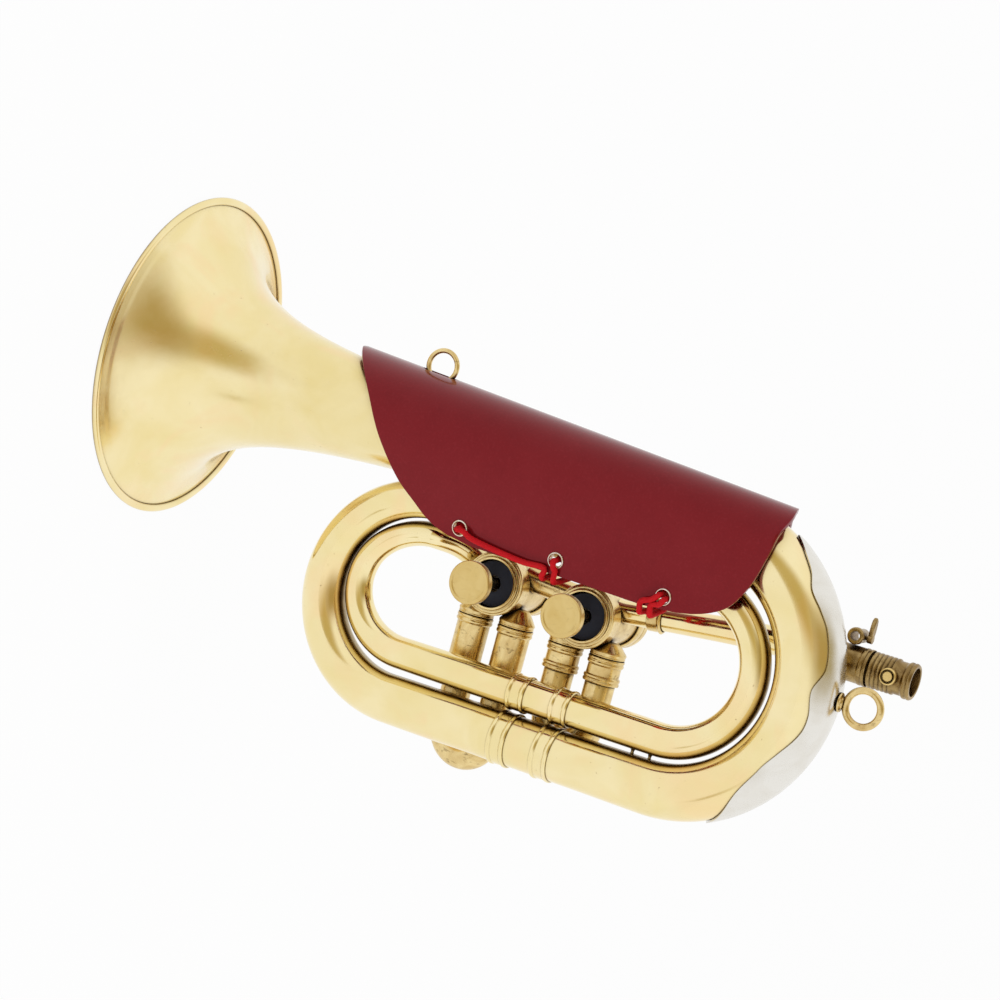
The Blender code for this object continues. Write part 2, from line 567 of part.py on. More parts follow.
def make_valve(valve):
    prefix = f"valve_{valve + 1}_"
    centre = Vector((VALVE_X[valve], VALVE_Y[valve], 0))
    web_top = CAP_TOP_Z - CAP_RECESS_DEPTH
    casing_top = web_top - CAP_WEB - GAP
    inner = CASING_RADIUS - CASING_WALL
    wall = [(CASING_RADIUS, casing_top), (CASING_RADIUS, CASING_BOTTOM_Z),
            (inner, CASING_BOTTOM_Z), (inner, casing_top)]
    casing = turned(prefix + "casing", wall, AGED, centre, steps=20)
    bore = PORT_PIPE_RADIUS - WALL
    y = VALVE_Y[valve] + PORT_Y_OFFSET
    cut(casing, cylinder_cutter(prefix + "air_bore", (VALVE_X[valve] - 2 * CASING_RADIUS, y, PORT_Z),
                                (VALVE_X[valve] + 2 * CASING_RADIUS, y, PORT_Z), bore, 12))
    for side in (-1, 1):
        x = VALVE_X[valve] + side * (LEG_OFFSET - 2.6 * MM)
        cut(casing, cylinder_cutter(f"{prefix}slide_bore_{side + 1}", (x, VALVE_Y[valve], LEG_Z),
                                    (x, VALVE_Y[valve] - 2 * CASING_RADIUS, LEG_Z), 2.2 * MM, 8))

    skirt = CASING_RADIUS + GAP
    bead = 0.9 * MM
    top = CAP_TOP_Z
    turned(prefix + "top_cap", [
        (CAP_RECESS_RADIUS + 0.4 * MM, top), (CAP_RADIUS - 0.2 * MM, top), (CAP_RADIUS, top - bead),
        (CAP_RADIUS - 0.5 * MM, top - 1.6 * bead), (CAP_RADIUS, top - 2.4 * bead),
        (CAP_RADIUS, top - 3.4 * bead), (CAP_RADIUS - 0.6 * MM, top - 4.2 * bead),
        (CAP_RADIUS - 0.4 * MM, top - CAP_HEIGHT), (skirt, top - CAP_HEIGHT), (skirt, web_top - CAP_WEB),
        (STEM_HOLE_RADIUS, web_top - CAP_WEB), (STEM_HOLE_RADIUS, web_top),
        (CAP_RECESS_RADIUS, web_top)], AGED, centre, steps=20)

    floor = CASING_BOTTOM_Z - GAP
    bottom = floor - BOTTOM_CAP_FLOOR
    lip = bottom + BOTTOM_CAP_HEIGHT
    vent = 1.5 * MM
    turned(prefix + "bottom_cap", [
        (BOTTOM_CAP_RADIUS - 0.5 * MM, lip), (BOTTOM_CAP_RADIUS, lip - bead),
        (BOTTOM_CAP_RADIUS, bottom + bead), (BOTTOM_CAP_RADIUS - bead, bottom), (vent, bottom),
        (vent, floor), (skirt, floor), (skirt, lip)], AGED, centre, steps=20)

    piston_top = PISTON_TOP_Z
    axis = bpy.data.objects.new(prefix + "piston_axis", None)
    PARTS.objects.link(axis)
    axis.parent = FRAME
    axis.location = centre
    radius = inner - GAP
    foot = piston_top - PISTON_LENGTH
    skirt_in, seat, seat_z = radius - 1.2 * MM, STEM_RADIUS + 0.6 * MM, piston_top - 3 * MM
    core = STEM_RADIUS - 0.9 * MM
    piston = turned(prefix + "piston", [
        (seat, piston_top), (radius - 0.5 * MM, piston_top), (radius, piston_top - 0.5 * MM), (radius, foot),
        (skirt_in, foot), (skirt_in, foot + 1.5 * MM), (core, foot + 1.5 * MM), (core, seat_z),
        (seat, seat_z)], NICKEL, (0, 0, 0), steps=18, parent=axis)
    cut(piston, cylinder_cutter(prefix + "piston_bore", (VALVE_X[valve] - 2 * CASING_RADIUS, y, PORT_Z),
                                (VALVE_X[valve] + 2 * CASING_RADIUS, y, PORT_Z), 3.0 * MM, 10))

    underside = BUTTON_TOP_Z - BUTTON_HEIGHT
    stem_foot = seat_z + GAP
    pin, pin_top = 1.2 * MM, underside + 2.2 * MM
    turned(prefix + "stem", [
        (0, pin_top), (pin, pin_top), (pin, underside), (STEM_RADIUS, underside - GAP),
        (STEM_RADIUS, stem_foot), (0, stem_foot)], AGED, (0, 0, 0), steps=12, closed=False, parent=axis)
    rim = 0.7 * MM
    dish = BUTTON_TOP_Z - 0.25 * MM
    turned(prefix + "button", [
        (0, dish), (BUTTON_RADIUS - 2 * rim, dish), (BUTTON_RADIUS - 1.6 * rim, BUTTON_TOP_Z),
        (BUTTON_RADIUS - 0.6 * rim, BUTTON_TOP_Z), (BUTTON_RADIUS, BUTTON_TOP_Z - 0.6 * rim),
        (BUTTON_RADIUS, underside + 1.8 * rim), (BUTTON_RADIUS - rim, underside + 0.6 * rim),
        (3.4 * MM, underside + GAP / 3), (pin + GAP, underside + GAP / 3), (pin + GAP, pin_top + GAP),
        (0, pin_top + GAP)], BRASS, (0, 0, 0), steps=17, closed=False, parent=axis)

    felt_foot = web_top + GAP
    felt_hole, felt_top = STEM_HOLE_RADIUS + GAP, felt_foot + FELT_THICKNESS
    turned(prefix + "felt", [
        (CAP_RECESS_RADIUS - 2 * GAP, felt_top), (CAP_RECESS_RADIUS - GAP, felt_foot),
        (felt_hole, felt_foot), (felt_hole, felt_top)], FELT, centre, steps=12)

    make_spring(prefix + "spring", centre, floor + SPRING_WIRE_RADIUS + GAP,
                piston_top - PISTON_LENGTH - SPRING_WIRE_RADIUS - GAP)


def make_spring(name, centre, foot, head):
    """A conical return spring that closes flat under the piston."""
    points = []
    per_turn = 8
    count = SPRING_TURNS * per_turn
    for k in range(count + 1):
        share = k / count
        angle = 2 * math.pi * SPRING_TURNS * share
        radius = SPRING_RADIUS_BOTTOM + (SPRING_RADIUS_TOP - SPRING_RADIUS_BOTTOM) * share
        points.append(Vector((centre.x + radius * math.cos(angle), centre.y + radius * math.sin(angle),
                              foot + (head - foot) * share)))
    rod(name, points, SPRING_WIRE_RADIUS, STEEL, sides=6)
    pitch = (head - foot) / SPRING_TURNS
    print(f"{name}: gap between turns {(pitch - 2 * SPRING_WIRE_RADIUS) / MM:.2f} mm")


def make_slide(valve):
    """Two fixed legs with their elbows, and the sliding bow that joins them."""
    prefix = f"valve_{valve + 1}_"
    for side, letter in ((-1, "a"), (1, "b")):
        x = VALVE_X[valve] + side * LEG_OFFSET
        top, foot = VALVE_Y[valve] - 4 * MM, LEG_TOP_Y + GAP
        bore = LEG_RADIUS - 1.0 * MM
        knee = turned(f"{prefix}slide_elbow_{letter}", [
            (LEG_RADIUS + 0.8 * MM, top), (LEG_RADIUS + 0.6 * MM, foot + 2.4 * MM), (LEG_RADIUS, foot),
            (bore, foot), (bore, top)], AGED, (x, 0, LEG_Z), (0, 1, 0), SIDES_SMALL)
        cut(knee, casing_clearance(valve, f"elbow_{valve}_{letter}"))
        end = LEG_END_Y[valve]
        inside = LEG_RADIUS - LEG_WALL
        shoulder = COLLAR_WIDTH + 0.4 * MM
        profile = [(COLLAR_RADIUS, LEG_TOP_Y), (COLLAR_RADIUS, LEG_TOP_Y - COLLAR_WIDTH),
                   (LEG_RADIUS, LEG_TOP_Y - shoulder), (LEG_RADIUS, end + shoulder),
                   (COLLAR_RADIUS, end + COLLAR_WIDTH), (COLLAR_RADIUS, end), (inside, end),
                   (inside, LEG_TOP_Y)]
        turned(f"{prefix}slide_leg_{letter}", profile, AGED, (x, 0, LEG_Z), (0, 1, 0), SIDES_SMALL)

    centre = Vector((VALVE_X[valve], SLIDE_BOW_Y[valve], LEG_Z))
    top = LEG_END_Y[valve] + SLIDE_TRAVEL[valve] + SLIDE_HOLD[valve]
    seat = LEG_END_Y[valve] - GAP
    bow = arc((centre.x, centre.y), LEG_OFFSET, 180, 360, 6, LEG_Z)
    left = [Vector((centre.x - LEG_OFFSET, y, LEG_Z)) for y in (top, seat, seat - 0.01 * MM)]
    right = [Vector((centre.x + LEG_OFFSET, y, LEG_Z)) for y in (seat - 0.01 * MM, seat, top)]
    points = left + bow + right
    radii = [SLIDE_RADIUS] * 2 + [SLIDE_BOW_RADIUS] * (len(bow) + 2) + [SLIDE_RADIUS] * 2
    tube(prefix + "slide_bow", points, radii, AGED, SIDES_SMALL - 2)


def make_receiver():
    axis = (1, 0, 0)
    place = Vector((0, RECEIVER_Y, LEADPIPE_Z))
    start = LEADPIPE_END_X + GAP
    bore = SHANK_BORE_RADIUS + 0.8 * MM + GAP
    narrow = LEADPIPE_RADIUS_END - WALL
    shoulder = SOCKET_END_X - SHANK_INSERT - 1.0 * MM
    turned("receiver_socket", [
        (SOCKET_RADIUS + 0.2 * MM, SOCKET_END_X), (SOCKET_RADIUS + 0.2 * MM, SOCKET_END_X - 2.4 * MM),
        (SOCKET_RADIUS, SOCKET_END_X - 2.8 * MM), (SOCKET_RADIUS, start + 1.4 * MM),
        (LEADPIPE_RADIUS_END, start), (narrow, start), (narrow, shoulder), (bore, shoulder),
        (bore, SOCKET_END_X)], AGED, place, axis, steps=16)

    slide = bpy.data.objects.new("tuning_shank_axis", None)
    PARTS.objects.link(slide)
    slide.parent = FRAME
    slide.location = place
    head = SOCKET_END_X + GAP
    outline = [(SHANK_RIM_RADIUS - 0.4 * MM, SHANK_END_X), (SHANK_RIM_RADIUS, SHANK_END_X - 0.6 * MM),
               (SHANK_RIM_RADIUS, SHANK_END_X - 2.6 * MM), (SHANK_RADIUS, SHANK_END_X - 3.4 * MM)]
    pitch = SHANK_RING_PITCH
    first = head + SHANK_RINGS * pitch
    crest = SHANK_RIM_RADIUS - 0.1 * MM
    outline.append((SHANK_RADIUS, first + 0.3 * MM))
    for k in range(SHANK_RINGS):
        x = first - k * pitch
        outline += [(crest, x - 0.15 * pitch), (crest, x - 0.6 * pitch), (SHANK_RADIUS, x - 0.8 * pitch)]
    outline[-1] = (SHANK_RADIUS, head)
    plug = SHANK_BORE_RADIUS + 0.8 * MM
    tip = SOCKET_END_X - SHANK_INSERT
    outline += [(plug, head), (plug, tip), (SHANK_BORE_RADIUS - 0.5 * MM, tip),
                (SHANK_BORE_RADIUS, SHANK_END_X)]
    turned("tuning_shank", outline, AGED, (0, 0, 0), axis, steps=14, parent=slide)

    foot = SHANK_RIM_RADIUS + GAP - 0.1 * MM
    turned("shank_stud", [
        (0, foot + 1.3 * MM), (STUD_RADIUS - 1.1 * MM, foot + 1.5 * MM),
        (STUD_RADIUS - 0.8 * MM, foot + 1.0 * MM), (STUD_RADIUS - 0.5 * MM, foot + 1.6 * MM),
        (STUD_RADIUS, foot + 1.2 * MM), (STUD_RADIUS, foot), (0, foot)],
        BRASS, (STUD_X, 0, 0), (0, 0, 1), steps=12, closed=False, parent=slide)

    lyre_y = RECEIVER_Y + SOCKET_RADIUS + LYRE_RADIUS + GAP
    half = LYRE_HEIGHT / 2
    lyre = turned("lyre_holder", [
        (LYRE_RADIUS - 0.4 * MM, half), (LYRE_RADIUS, half - 0.5 * MM), (LYRE_RADIUS, half - 2.2 * MM),
        (LYRE_RADIUS - 0.5 * MM, half - 2.6 * MM), (LYRE_RADIUS - 0.5 * MM, -half),
        (LYRE_HOLE_RADIUS, -half), (LYRE_HOLE_RADIUS, half)], AGED,
        (LYRE_X, lyre_y, LEADPIPE_Z), (0, 0, 1), steps=12)
    hole = 1.0 * MM
    screw_z = LEADPIPE_Z
    cut(lyre, cylinder_cutter("lyre_screw_hole", (LYRE_X + LYRE_HOLE_RADIUS - 0.8 * MM, lyre_y, screw_z),
                              (LYRE_X + 2 * LYRE_RADIUS, lyre_y, screw_z), hole, 12))
    turn = bpy.data.objects.new("lyre_screw_axis", None)
    PARTS.objects.link(turn)
    turn.parent = FRAME
    turn.location = (LYRE_X, lyre_y, screw_z)
    shaft = hole - GAP
    start = LYRE_HOLE_RADIUS + 0.1 * MM
    collar = LYRE_RADIUS + GAP
    boss, boss_end = 1.5 * MM, collar + 1.8 * MM
    screw = turned("lyre_screw", [
        (0, boss_end), (boss, boss_end), (boss, collar), (shaft, collar), (shaft, start), (0, start)],
        AGED, (0, 0, 0), (1, 0, 0), steps=12, closed=False, parent=turn)
    outline = [(0.9, 0.0), (1.5, 2.5), (1.35, 5.0), (0.9, 6.8), (0.0, 7.4)]
    outline += [(-x, y) for x, y in reversed(outline[:-1])]
    wing = bmesh.new()
    thickness = 1.5 * MM
    back = boss_end - 0.1 * MM - thickness
    face = wing.faces.new([wing.verts.new((back, y * MM, x * MM)) for x, y in outline])
    grown = bmesh.ops.extrude_face_region(wing, geom=[face])
    moved = [item for item in grown["geom"] if isinstance(item, bmesh.types.BMVert)]
    bmesh.ops.translate(wing, verts=moved, vec=(thickness, 0, 0))
    bmesh.ops.recalc_face_normals(wing, faces=wing.faces)
    mesh = bpy.data.meshes.new("wing")
    wing.to_mesh(mesh)
    wing.free()
    paddle = add_cutter("lyre_screw_wing", mesh)
    paddle.parent = turn
    cut(screw, paddle, "UNION")

    stay_x = 110.0 * MM
    low = LEADPIPE_Z + LEADPIPE_RADIUS_END + GAP
    high = -RIGHT_BOW_RADIUS - 0.5 * MM
    flange, waist = 2.6 * MM, 1.6 * MM
    post = [(0, high), (flange, high), (waist, (high + low) / 2), (flange, low), (0, low)]
    turned("receiver_stay", post, AGED, (stay_x, RECEIVER_Y, 0), (0, 0, 1), steps=10, closed=False)


def bow_frame(angle):
    """Centre of the right bow's tube at an angle, its outward direction and its radius."""
    top_y = BELL_TUBE_END.y
    radius = (top_y - OUTER_LOWER_Y) / 2
    out = Vector((math.cos(angle), math.sin(angle), 0))
    centre = Vector((RIGHT_BOW_X, (top_y + OUTER_LOWER_Y) / 2, 0)) + out * radius
    share = math.degrees(angle) / 90
    if share < 0:
        size = RIGHT_BOW_RADIUS + (OUTER_LOWER_RADIUS + 0.4 * MM - RIGHT_BOW_RADIUS) * -share
    else:
        size = RIGHT_BOW_RADIUS + (BELL_TUBE_RADIUS_RIGHT - RIGHT_BOW_RADIUS) * share
    return centre, out, size


def make_guard():
    columns, rows = 24, 4
    start, end = GUARD_EDGE[0][0], GUARD_EDGE[-1][0]
    sheet = bmesh.new()
    grid = []
    for i in range(columns + 1):
        degrees = start + (end - start) * i / columns
        centre, out, size = bow_frame(math.radians(degrees))
        half = math.radians(blend_points(GUARD_EDGE, degrees))
        line = []
        for j in range(rows + 1):
            turn = half * (2 * j / rows - 1)
            normal = out * math.cos(turn) + Vector((0, 0, 1)) * math.sin(turn)
            line.append(sheet.verts.new(centre + normal * (size + GAP)))
        grid.append(line)
    for i in range(columns):
        for j in range(rows):
            sheet.faces.new((grid[i][j], grid[i][j + 1], grid[i + 1][j + 1], grid[i + 1][j]))
    bmesh.ops.recalc_face_normals(sheet, faces=sheet.faces)
    centre, out, _ = bow_frame(0)
    crest = centre + out * RIGHT_BOW_RADIUS
    middle = min(sheet.faces, key=lambda face: (face.calc_center_median() - crest).length)
    if middle.normal.dot(out) < 0:
        bmesh.ops.reverse_faces(sheet, faces=sheet.faces)
    mesh = bpy.data.meshes.new("guard")
    sheet.to_mesh(mesh)
    sheet.free()
    shade(mesh)
    guard = add_part("bow_guard", mesh, NICKEL)
    solidify = guard.modifiers.new("sheet", "SOLIDIFY")
    solidify.thickness = GUARD_THICKNESS
    solidify.offset = 1.0

    centre, out, size = bow_frame(RING_ANGLE)
    surface = centre + out * (size + GAP + GUARD_THICKNESS)
    ring_centre = surface + out * (RING_RADIUS + RING_WIRE_RADIUS + 0.9 * MM)
    points = []
    count = 18
    for k in range(count):
        angle = 2 * math.pi * k / count
        points.append(ring_centre + Vector((math.cos(angle), math.sin(angle), 0)) * RING_RADIUS)
    ring = rod("guard_ring", points, RING_WIRE_RADIUS, BRASS, sides=6, cyclic=True)
    height, base, boss = 1.6 * MM, 3.2 * MM, 1.9 * MM
    lug = turned("guard_ring_lug", [
        (0, height), (boss, height), (base, height - 1.0 * MM), (base, GAP), (0, GAP)],
        None, surface, out, steps=12, closed=False)
    cut(ring, lug, "UNION")


def make_top_ring():
    s = TOP_RING_X - RIM_X
    base = bell_axis_point(s) + Vector((0, 1, 0)) * (bell_tube_radius(s) + GAP)
    foot_height = 1.6 * MM
    foot = turned("top_ring_foot", [
        (0, foot_height), (1.4 * MM, foot_height), (2.8 * MM, 0.5 * MM), (2.8 * MM, 0), (0, 0)],
        None, base, (0, 1, 0), steps=10, closed=False)
    centre = base + Vector((0, foot_height - 0.6 * MM + TOP_RING_WIRE_RADIUS + TOP_RING_RADIUS, 0))
    points = []
    count = 18
    for k in range(count):
        angle = 2 * math.pi * k / count
        points.append(centre + Vector((math.cos(angle), math.sin(angle), 0)) * TOP_RING_RADIUS)
    ring = rod("top_ring", points, TOP_RING_WIRE_RADIUS, AGED, sides=6, cyclic=True)
    cut(ring, foot, "UNION")


def share_between(pair, x):
    t = (x - LEATHER_X[0]) / (LEATHER_X[1] - LEATHER_X[0])
    return pair[0] + (pair[1] - pair[0]) * t


def leather_point(x, depth, side):
    """Middle of the leather: depth is 0 on the top line and 1 on a flap's lower edge, side is 1 in front."""
    radius = share_between(LEATHER_RADIUS, x)
    centre_y = share_between(LEATHER_TOP_Y, x) - radius
    quarter = math.pi / 2 * radius
    edge_y = share_between(FRONT_FLAP_Y if side > 0 else BACK_FLAP_Y, x)
    drop = centre_y - edge_y
    run = depth * (quarter + drop)
    if run <= quarter:
        angle = run / radius
        return Vector((x, centre_y + radius * math.cos(angle), side * radius * math.sin(angle)))
    fall = run - quarter
    pull = smooth_step(fall / drop * 0.9)
    z = radius + (LEATHER_EDGE_Z - radius) * pull
    return Vector((x, centre_y - fall, side * z))


def leather_hole(x, side):
    """Centre of an eyelet's hole and the leather's outward direction there."""
    edge_y = share_between(FRONT_FLAP_Y if side > 0 else BACK_FLAP_Y, x)
    radius = share_between(LEATHER_RADIUS, x)
    centre_y = share_between(LEATHER_TOP_Y, x) - radius
    quarter = math.pi / 2 * radius
    full = quarter + centre_y - edge_y
    depth = 1 - EYELET_UP / full
    here = leather_point(x, depth, side)
    slope = leather_point(x, depth + 0.01, side) - leather_point(x, depth - 0.01, side)
    normal = Vector((0, -slope.z, slope.y)).normalized()
    if normal.z * side < 0:
        normal = -normal
    return here, normal


def make_leather():
    sheet = bmesh.new()
    rows, columns = 7, 10
    grid = []
    for i in range(-rows, rows + 1):
        side = 1 if i >= 0 else -1
        depth = abs(i) / rows
        left = blend_points(LEATHER_LEFT, depth) * MM
        right = RIGHT_BOW_X + blend_points(LEATHER_RIGHT, depth) * MM
        line = []
        for j in range(columns + 1):
            x = left + (right - left) * j / columns
            line.append(sheet.verts.new(leather_point(x, depth, side)))
        grid.append(line)
    for i in range(2 * rows):
        for j in range(columns):
            sheet.faces.new((grid[i][j], grid[i][j + 1], grid[i + 1][j + 1], grid[i + 1][j]))
    bmesh.ops.recalc_face_normals(sheet, faces=sheet.faces)
    top = max(sheet.faces, key=lambda face: face.calc_center_median().y)
    if top.normal.y < 0:
        bmesh.ops.reverse_faces(sheet, faces=sheet.faces)
    mesh = bpy.data.meshes.new("leather")
    sheet.to_mesh(mesh)
    sheet.free()
    shade(mesh, 50)
    leather = add_part("leather_guard", mesh, LEATHER_RED)
    solidify = leather.modifiers.new("hide", "SOLIDIFY")
    solidify.thickness = LEATHER
    solidify.offset = 0.0
    for number, x in enumerate(EYELET_X):
        for side, where in ((1, "front"), (-1, "back")):
            here, normal = leather_hole(x, side)
            reach = normal * 2 * LEATHER
            hole = EYELET_HOLE_RADIUS + EYELET_WALL + GAP / 2
            cut(leather, cylinder_cutter(f"hole_{where}_{number + 1}", here - reach, here + reach, hole, 10))
            make_eyelet(f"eyelet_{where}_{number + 1}", here, normal)
    slot_x = TOP_RING_RADIUS + TOP_RING_WIRE_RADIUS + 0.8 * MM
    slot_z = 3.2 * MM
    s = TOP_RING_X - RIM_X
    low = bell_axis_point(s).y + bell_tube_radius(s)
    box = bmesh.new()
    bmesh.ops.create_cube(box, size=1.0)
    size = Matrix.Diagonal((2 * slot_x, 20 * MM, 2 * slot_z, 1))
    place = Matrix.Translation((TOP_RING_X, low + 10 * MM, 0))
    bmesh.ops.transform(box, matrix=place @ size, verts=box.verts)
    mesh = bpy.data.meshes.new("ring_slot")
    box.to_mesh(mesh)
    box.free()
    cut(leather, add_cutter("ring_slot", mesh))


def make_eyelet(name, place, normal):
    """A flanged ring clenched on both faces of the leather."""
    half = LEATHER / 2 + GAP
    barrel = EYELET_HOLE_RADIUS + EYELET_WALL
    outer = EYELET_RADIUS
    turned(name, [
        (EYELET_HOLE_RADIUS, half + EYELET_FLANGE), (outer - 0.6 * MM, half + EYELET_FLANGE), (outer, half),
        (barrel, half), (barrel, -half), (outer, -half), (outer - 0.6 * MM, -half - EYELET_FLANGE),
        (EYELET_HOLE_RADIUS, -half - EYELET_FLANGE)], EYELET_METAL, place, normal, steps=10)


def lace_route():
    """The lacing: one cord through the eyelets, round the flaps' lower edges and below the second tube."""
    out = LEATHER / 2 + GAP + EYELET_FLANGE + LACE_RADIUS + 0.3 * MM
    skin = LEATHER / 2 + LACE_RADIUS + 0.35 * MM
    route = []

    def through(x, side, outward, shift=(0.0, 0.0)):
        here, normal = leather_hole(x, side)
        here = here + Vector((shift[0], shift[1], 0))
        reach = LEATHER / 2 + EYELET_FLANGE + GAP
        for step in (-out, -reach, reach, out) if outward else (out, reach, -reach, -out):
            route.append(here + normal * step)

    def on_face(x, side, rise, lift=0.0):
        radius = share_between(LEATHER_RADIUS, x)
        fall = share_between(LEATHER_TOP_Y, x) - radius - leather_point(x, 1.0, side).y
        point = leather_point(x, 1.0 - rise / (math.pi / 2 * radius + fall), side)
        route.append(point + Vector((0, 0, side * (skin + lift))))

    def round_edge(x, side, from_outside):
        """Round a flap's lower edge, from its outer face to below it or the other way."""
        edge = leather_point(x, 1.0, side)
        turn = [edge + Vector((0, 1.2 * MM, side * skin)),
                edge + Vector((0, -0.8 * skin, side * 0.75 * skin)),
                edge + Vector((0, -1.15 * skin, -side * 0.5 * MM))]
        route.extend(turn if from_outside else turn[::-1])

    def inside(x, side, y, z):
        route.append(Vector((x, y, side * z)))

    first, second, third = EYELET_X
    left, right, low = LACE_EDGE_X
    over = EYELET_FLANGE + 0.2 * MM
    here, _ = leather_hole(first, 1)
    inside(first - 4 * MM, 1, here.y + 0.6 * MM, LACE_INSIDE_Z)
    through(first, 1, True)
    on_face(first + 2.4 * MM, 1, 4.2 * MM, over)
    on_face(first + 7 * MM, 1, 2.4 * MM)
    on_face(left - 9 * MM, 1, 0.8 * MM)
    round_edge(left, 1, True)
    inside(left - 1 * MM, 1, LACE_UNDER_Y, 0)
    round_edge(left - 2 * MM, -1, False)
    on_face(left - 12 * MM, -1, 2.4 * MM)
    on_face(first + 8 * MM, -1, 2.8 * MM)
    on_face(first + 2.4 * MM, -1, 4.2 * MM, over)
    through(first, -1, False)
    here, _ = leather_hole(first, -1)
    inside(first + 6 * MM, -1, here.y - 1.8 * MM, LACE_INSIDE_Z)
    here, _ = leather_hole(second, -1)
    inside(second - 6 * MM, -1, here.y - 1.8 * MM, LACE_INSIDE_Z)
    through(second, -1, True)
    on_face(second + 0.5 * MM, -1, 2.4 * MM, over)
    round_edge(right + 1 * MM, -1, True)
    inside(right + 0.5 * MM, 1, LACE_UNDER_Y, 0)
    round_edge(right, 1, False)
    on_face(second + 0.4 * MM, 1, 2.4 * MM, over)
    through(second, 1, False)
    here, _ = leather_hole(second, 1)
    inside(second + 7 * MM, 1, here.y - 1.0 * MM, LACE_INSIDE_Z)
    here, _ = leather_hole(third, 1)
    inside(third - 7 * MM, 1, here.y + 1.0 * MM, LACE_INSIDE_Z)
    spread = LACE_RADIUS + GAP
    through(third, 1, True, (-0.9 * spread, 0.42 * spread))
    on_face(third - 3.2 * MM, 1, 3.0 * MM, over)
    round_edge(low - 1.6 * MM, 1, True)
    inside(low, 1, LACE_UNDER_Y - 0.5 * MM, 0)
    round_edge(low + 3 * MM, -1, False)
    on_face(third - 0.8 * MM, -1, 2.4 * MM, over)
    through(third, -1, False)
    here, _ = leather_hole(third, -1)
    inside(third - 0.5 * MM, -1, here.y - 3.8 * MM, LACE_INSIDE_Z - 2 * MM)
    inside(low + 3.2 * MM, 1, LACE_UNDER_Y + 0.6 * MM, 0)
    round_edge(low + 2.2 * MM, 1, False)
    on_face(third - 0.2 * MM, 1, 2.2 * MM, over)
    through(third, 1, False, (0.9 * spread, -0.42 * spread))
    return route


def make_lacing():
    path = spaced(smooth_path(lace_route(), 2), 1.7 * MM)
    rod("lacing", path, LACE_RADIUS, CORD_RED, sides=6)
    lengths = [0.0]
    for a, b in zip(path, path[1:]):
        lengths.append(lengths[-1] + (b - a).length)
    nearest = lengths[-1]
    for i, a in enumerate(path):
        for j, b in enumerate(path):
            if lengths[j] - lengths[i] > 6 * LACE_RADIUS:
                nearest = min(nearest, (a - b).length - 2 * LACE_RADIUS)
    print(f"lacing: length {lengths[-1] / MM:.0f} mm, least gap to itself {nearest / MM:.2f} mm")


def stand_on_bell():
    """Turns the bell's axis upright and puts the middle of the bugle's outline over the origin."""
    upright = BELL_AXIS
    front = Vector((0, 0, 1))
    side = upright.cross(front)
    turn = Matrix((side, -front, upright)).to_quaternion()
    FRAME.rotation_mode = "QUATERNION"
    FRAME.rotation_quaternion = turn
    bpy.context.view_layer.update()
    graph = bpy.context.evaluated_depsgraph_get()
    corners = []
    for obj in PARTS.objects:
        if obj.type == "MESH":
            drawn = obj.evaluated_get(graph)
            corners += [drawn.matrix_world @ vertex.co for vertex in drawn.data.vertices]
    low = [min(corner[k] for corner in corners) for k in range(3)]
    high = [max(corner[k] for corner in corners) for k in range(3)]
    FRAME.location = (-(low[0] + high[0]) / 2, -(low[1] + high[1]) / 2, -low[2])
    bpy.context.view_layer.update()
    print("place of the axes", [round(value / MM, 3) for value in FRAME.location])
    print("size", [round((b - a) / MM, 2) for a, b in zip(low, high)])


make_bell()
make_outer_loop()
make_second_tube()
make_inner_loop()
make_pipes()
for number in (0, 1):
    make_valve(number)
    make_slide(number)
make_receiver()
make_guard()
make_top_ring()
make_leather()
make_lacing()
stand_on_bell()
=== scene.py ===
"""Looks of the valved bugle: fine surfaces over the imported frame, the laced leather guard and the studio.

Pieces are laid out in millimetres in the instrument's own axes: X along the bell tube towards the mouthpiece
end, Y from the loops up to the bell tube, Z along the valves towards the buttons. AXES carries them to the
frame, which is in metres.
"""

import math

import bmesh
import bpy
from mathutils import Matrix, Vector


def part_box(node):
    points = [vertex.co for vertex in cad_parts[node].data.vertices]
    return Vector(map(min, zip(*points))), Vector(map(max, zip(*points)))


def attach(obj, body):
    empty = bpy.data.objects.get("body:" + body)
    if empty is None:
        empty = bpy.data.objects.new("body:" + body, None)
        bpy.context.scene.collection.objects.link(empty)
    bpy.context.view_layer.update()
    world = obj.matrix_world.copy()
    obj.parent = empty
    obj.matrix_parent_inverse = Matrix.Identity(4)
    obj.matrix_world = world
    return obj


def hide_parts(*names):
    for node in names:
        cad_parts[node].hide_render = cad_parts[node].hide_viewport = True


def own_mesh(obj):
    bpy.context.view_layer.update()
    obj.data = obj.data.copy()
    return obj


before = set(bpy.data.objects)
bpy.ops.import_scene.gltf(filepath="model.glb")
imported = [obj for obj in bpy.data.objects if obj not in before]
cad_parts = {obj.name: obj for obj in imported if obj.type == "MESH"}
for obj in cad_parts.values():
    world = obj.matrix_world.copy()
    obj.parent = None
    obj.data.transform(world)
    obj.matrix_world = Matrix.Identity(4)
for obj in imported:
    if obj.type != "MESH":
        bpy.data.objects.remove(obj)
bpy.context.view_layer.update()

MM = 0.001  # a millimetre in the frame's metres
GAP = 0.3
WALL = 0.6
BODY = "bugle"

# Bell and bell tube
RIM_X = -141.4
RIM_RADIUS = 59.0
RIM_WIRE_RADIUS = 1.25
RIM_WIRE_FLAT = 0.866  # the wire's height over its width: it is flattened where it stands
BELL_LENGTH = 121.0
BELL_NARROW = 11.2
FLARE_SCALE = 28.0
FLARE_POWER = 1.5
BELL_TUBE_DROP = 4.0
BELL_TUBE_RADIUS_RIGHT = 12.0

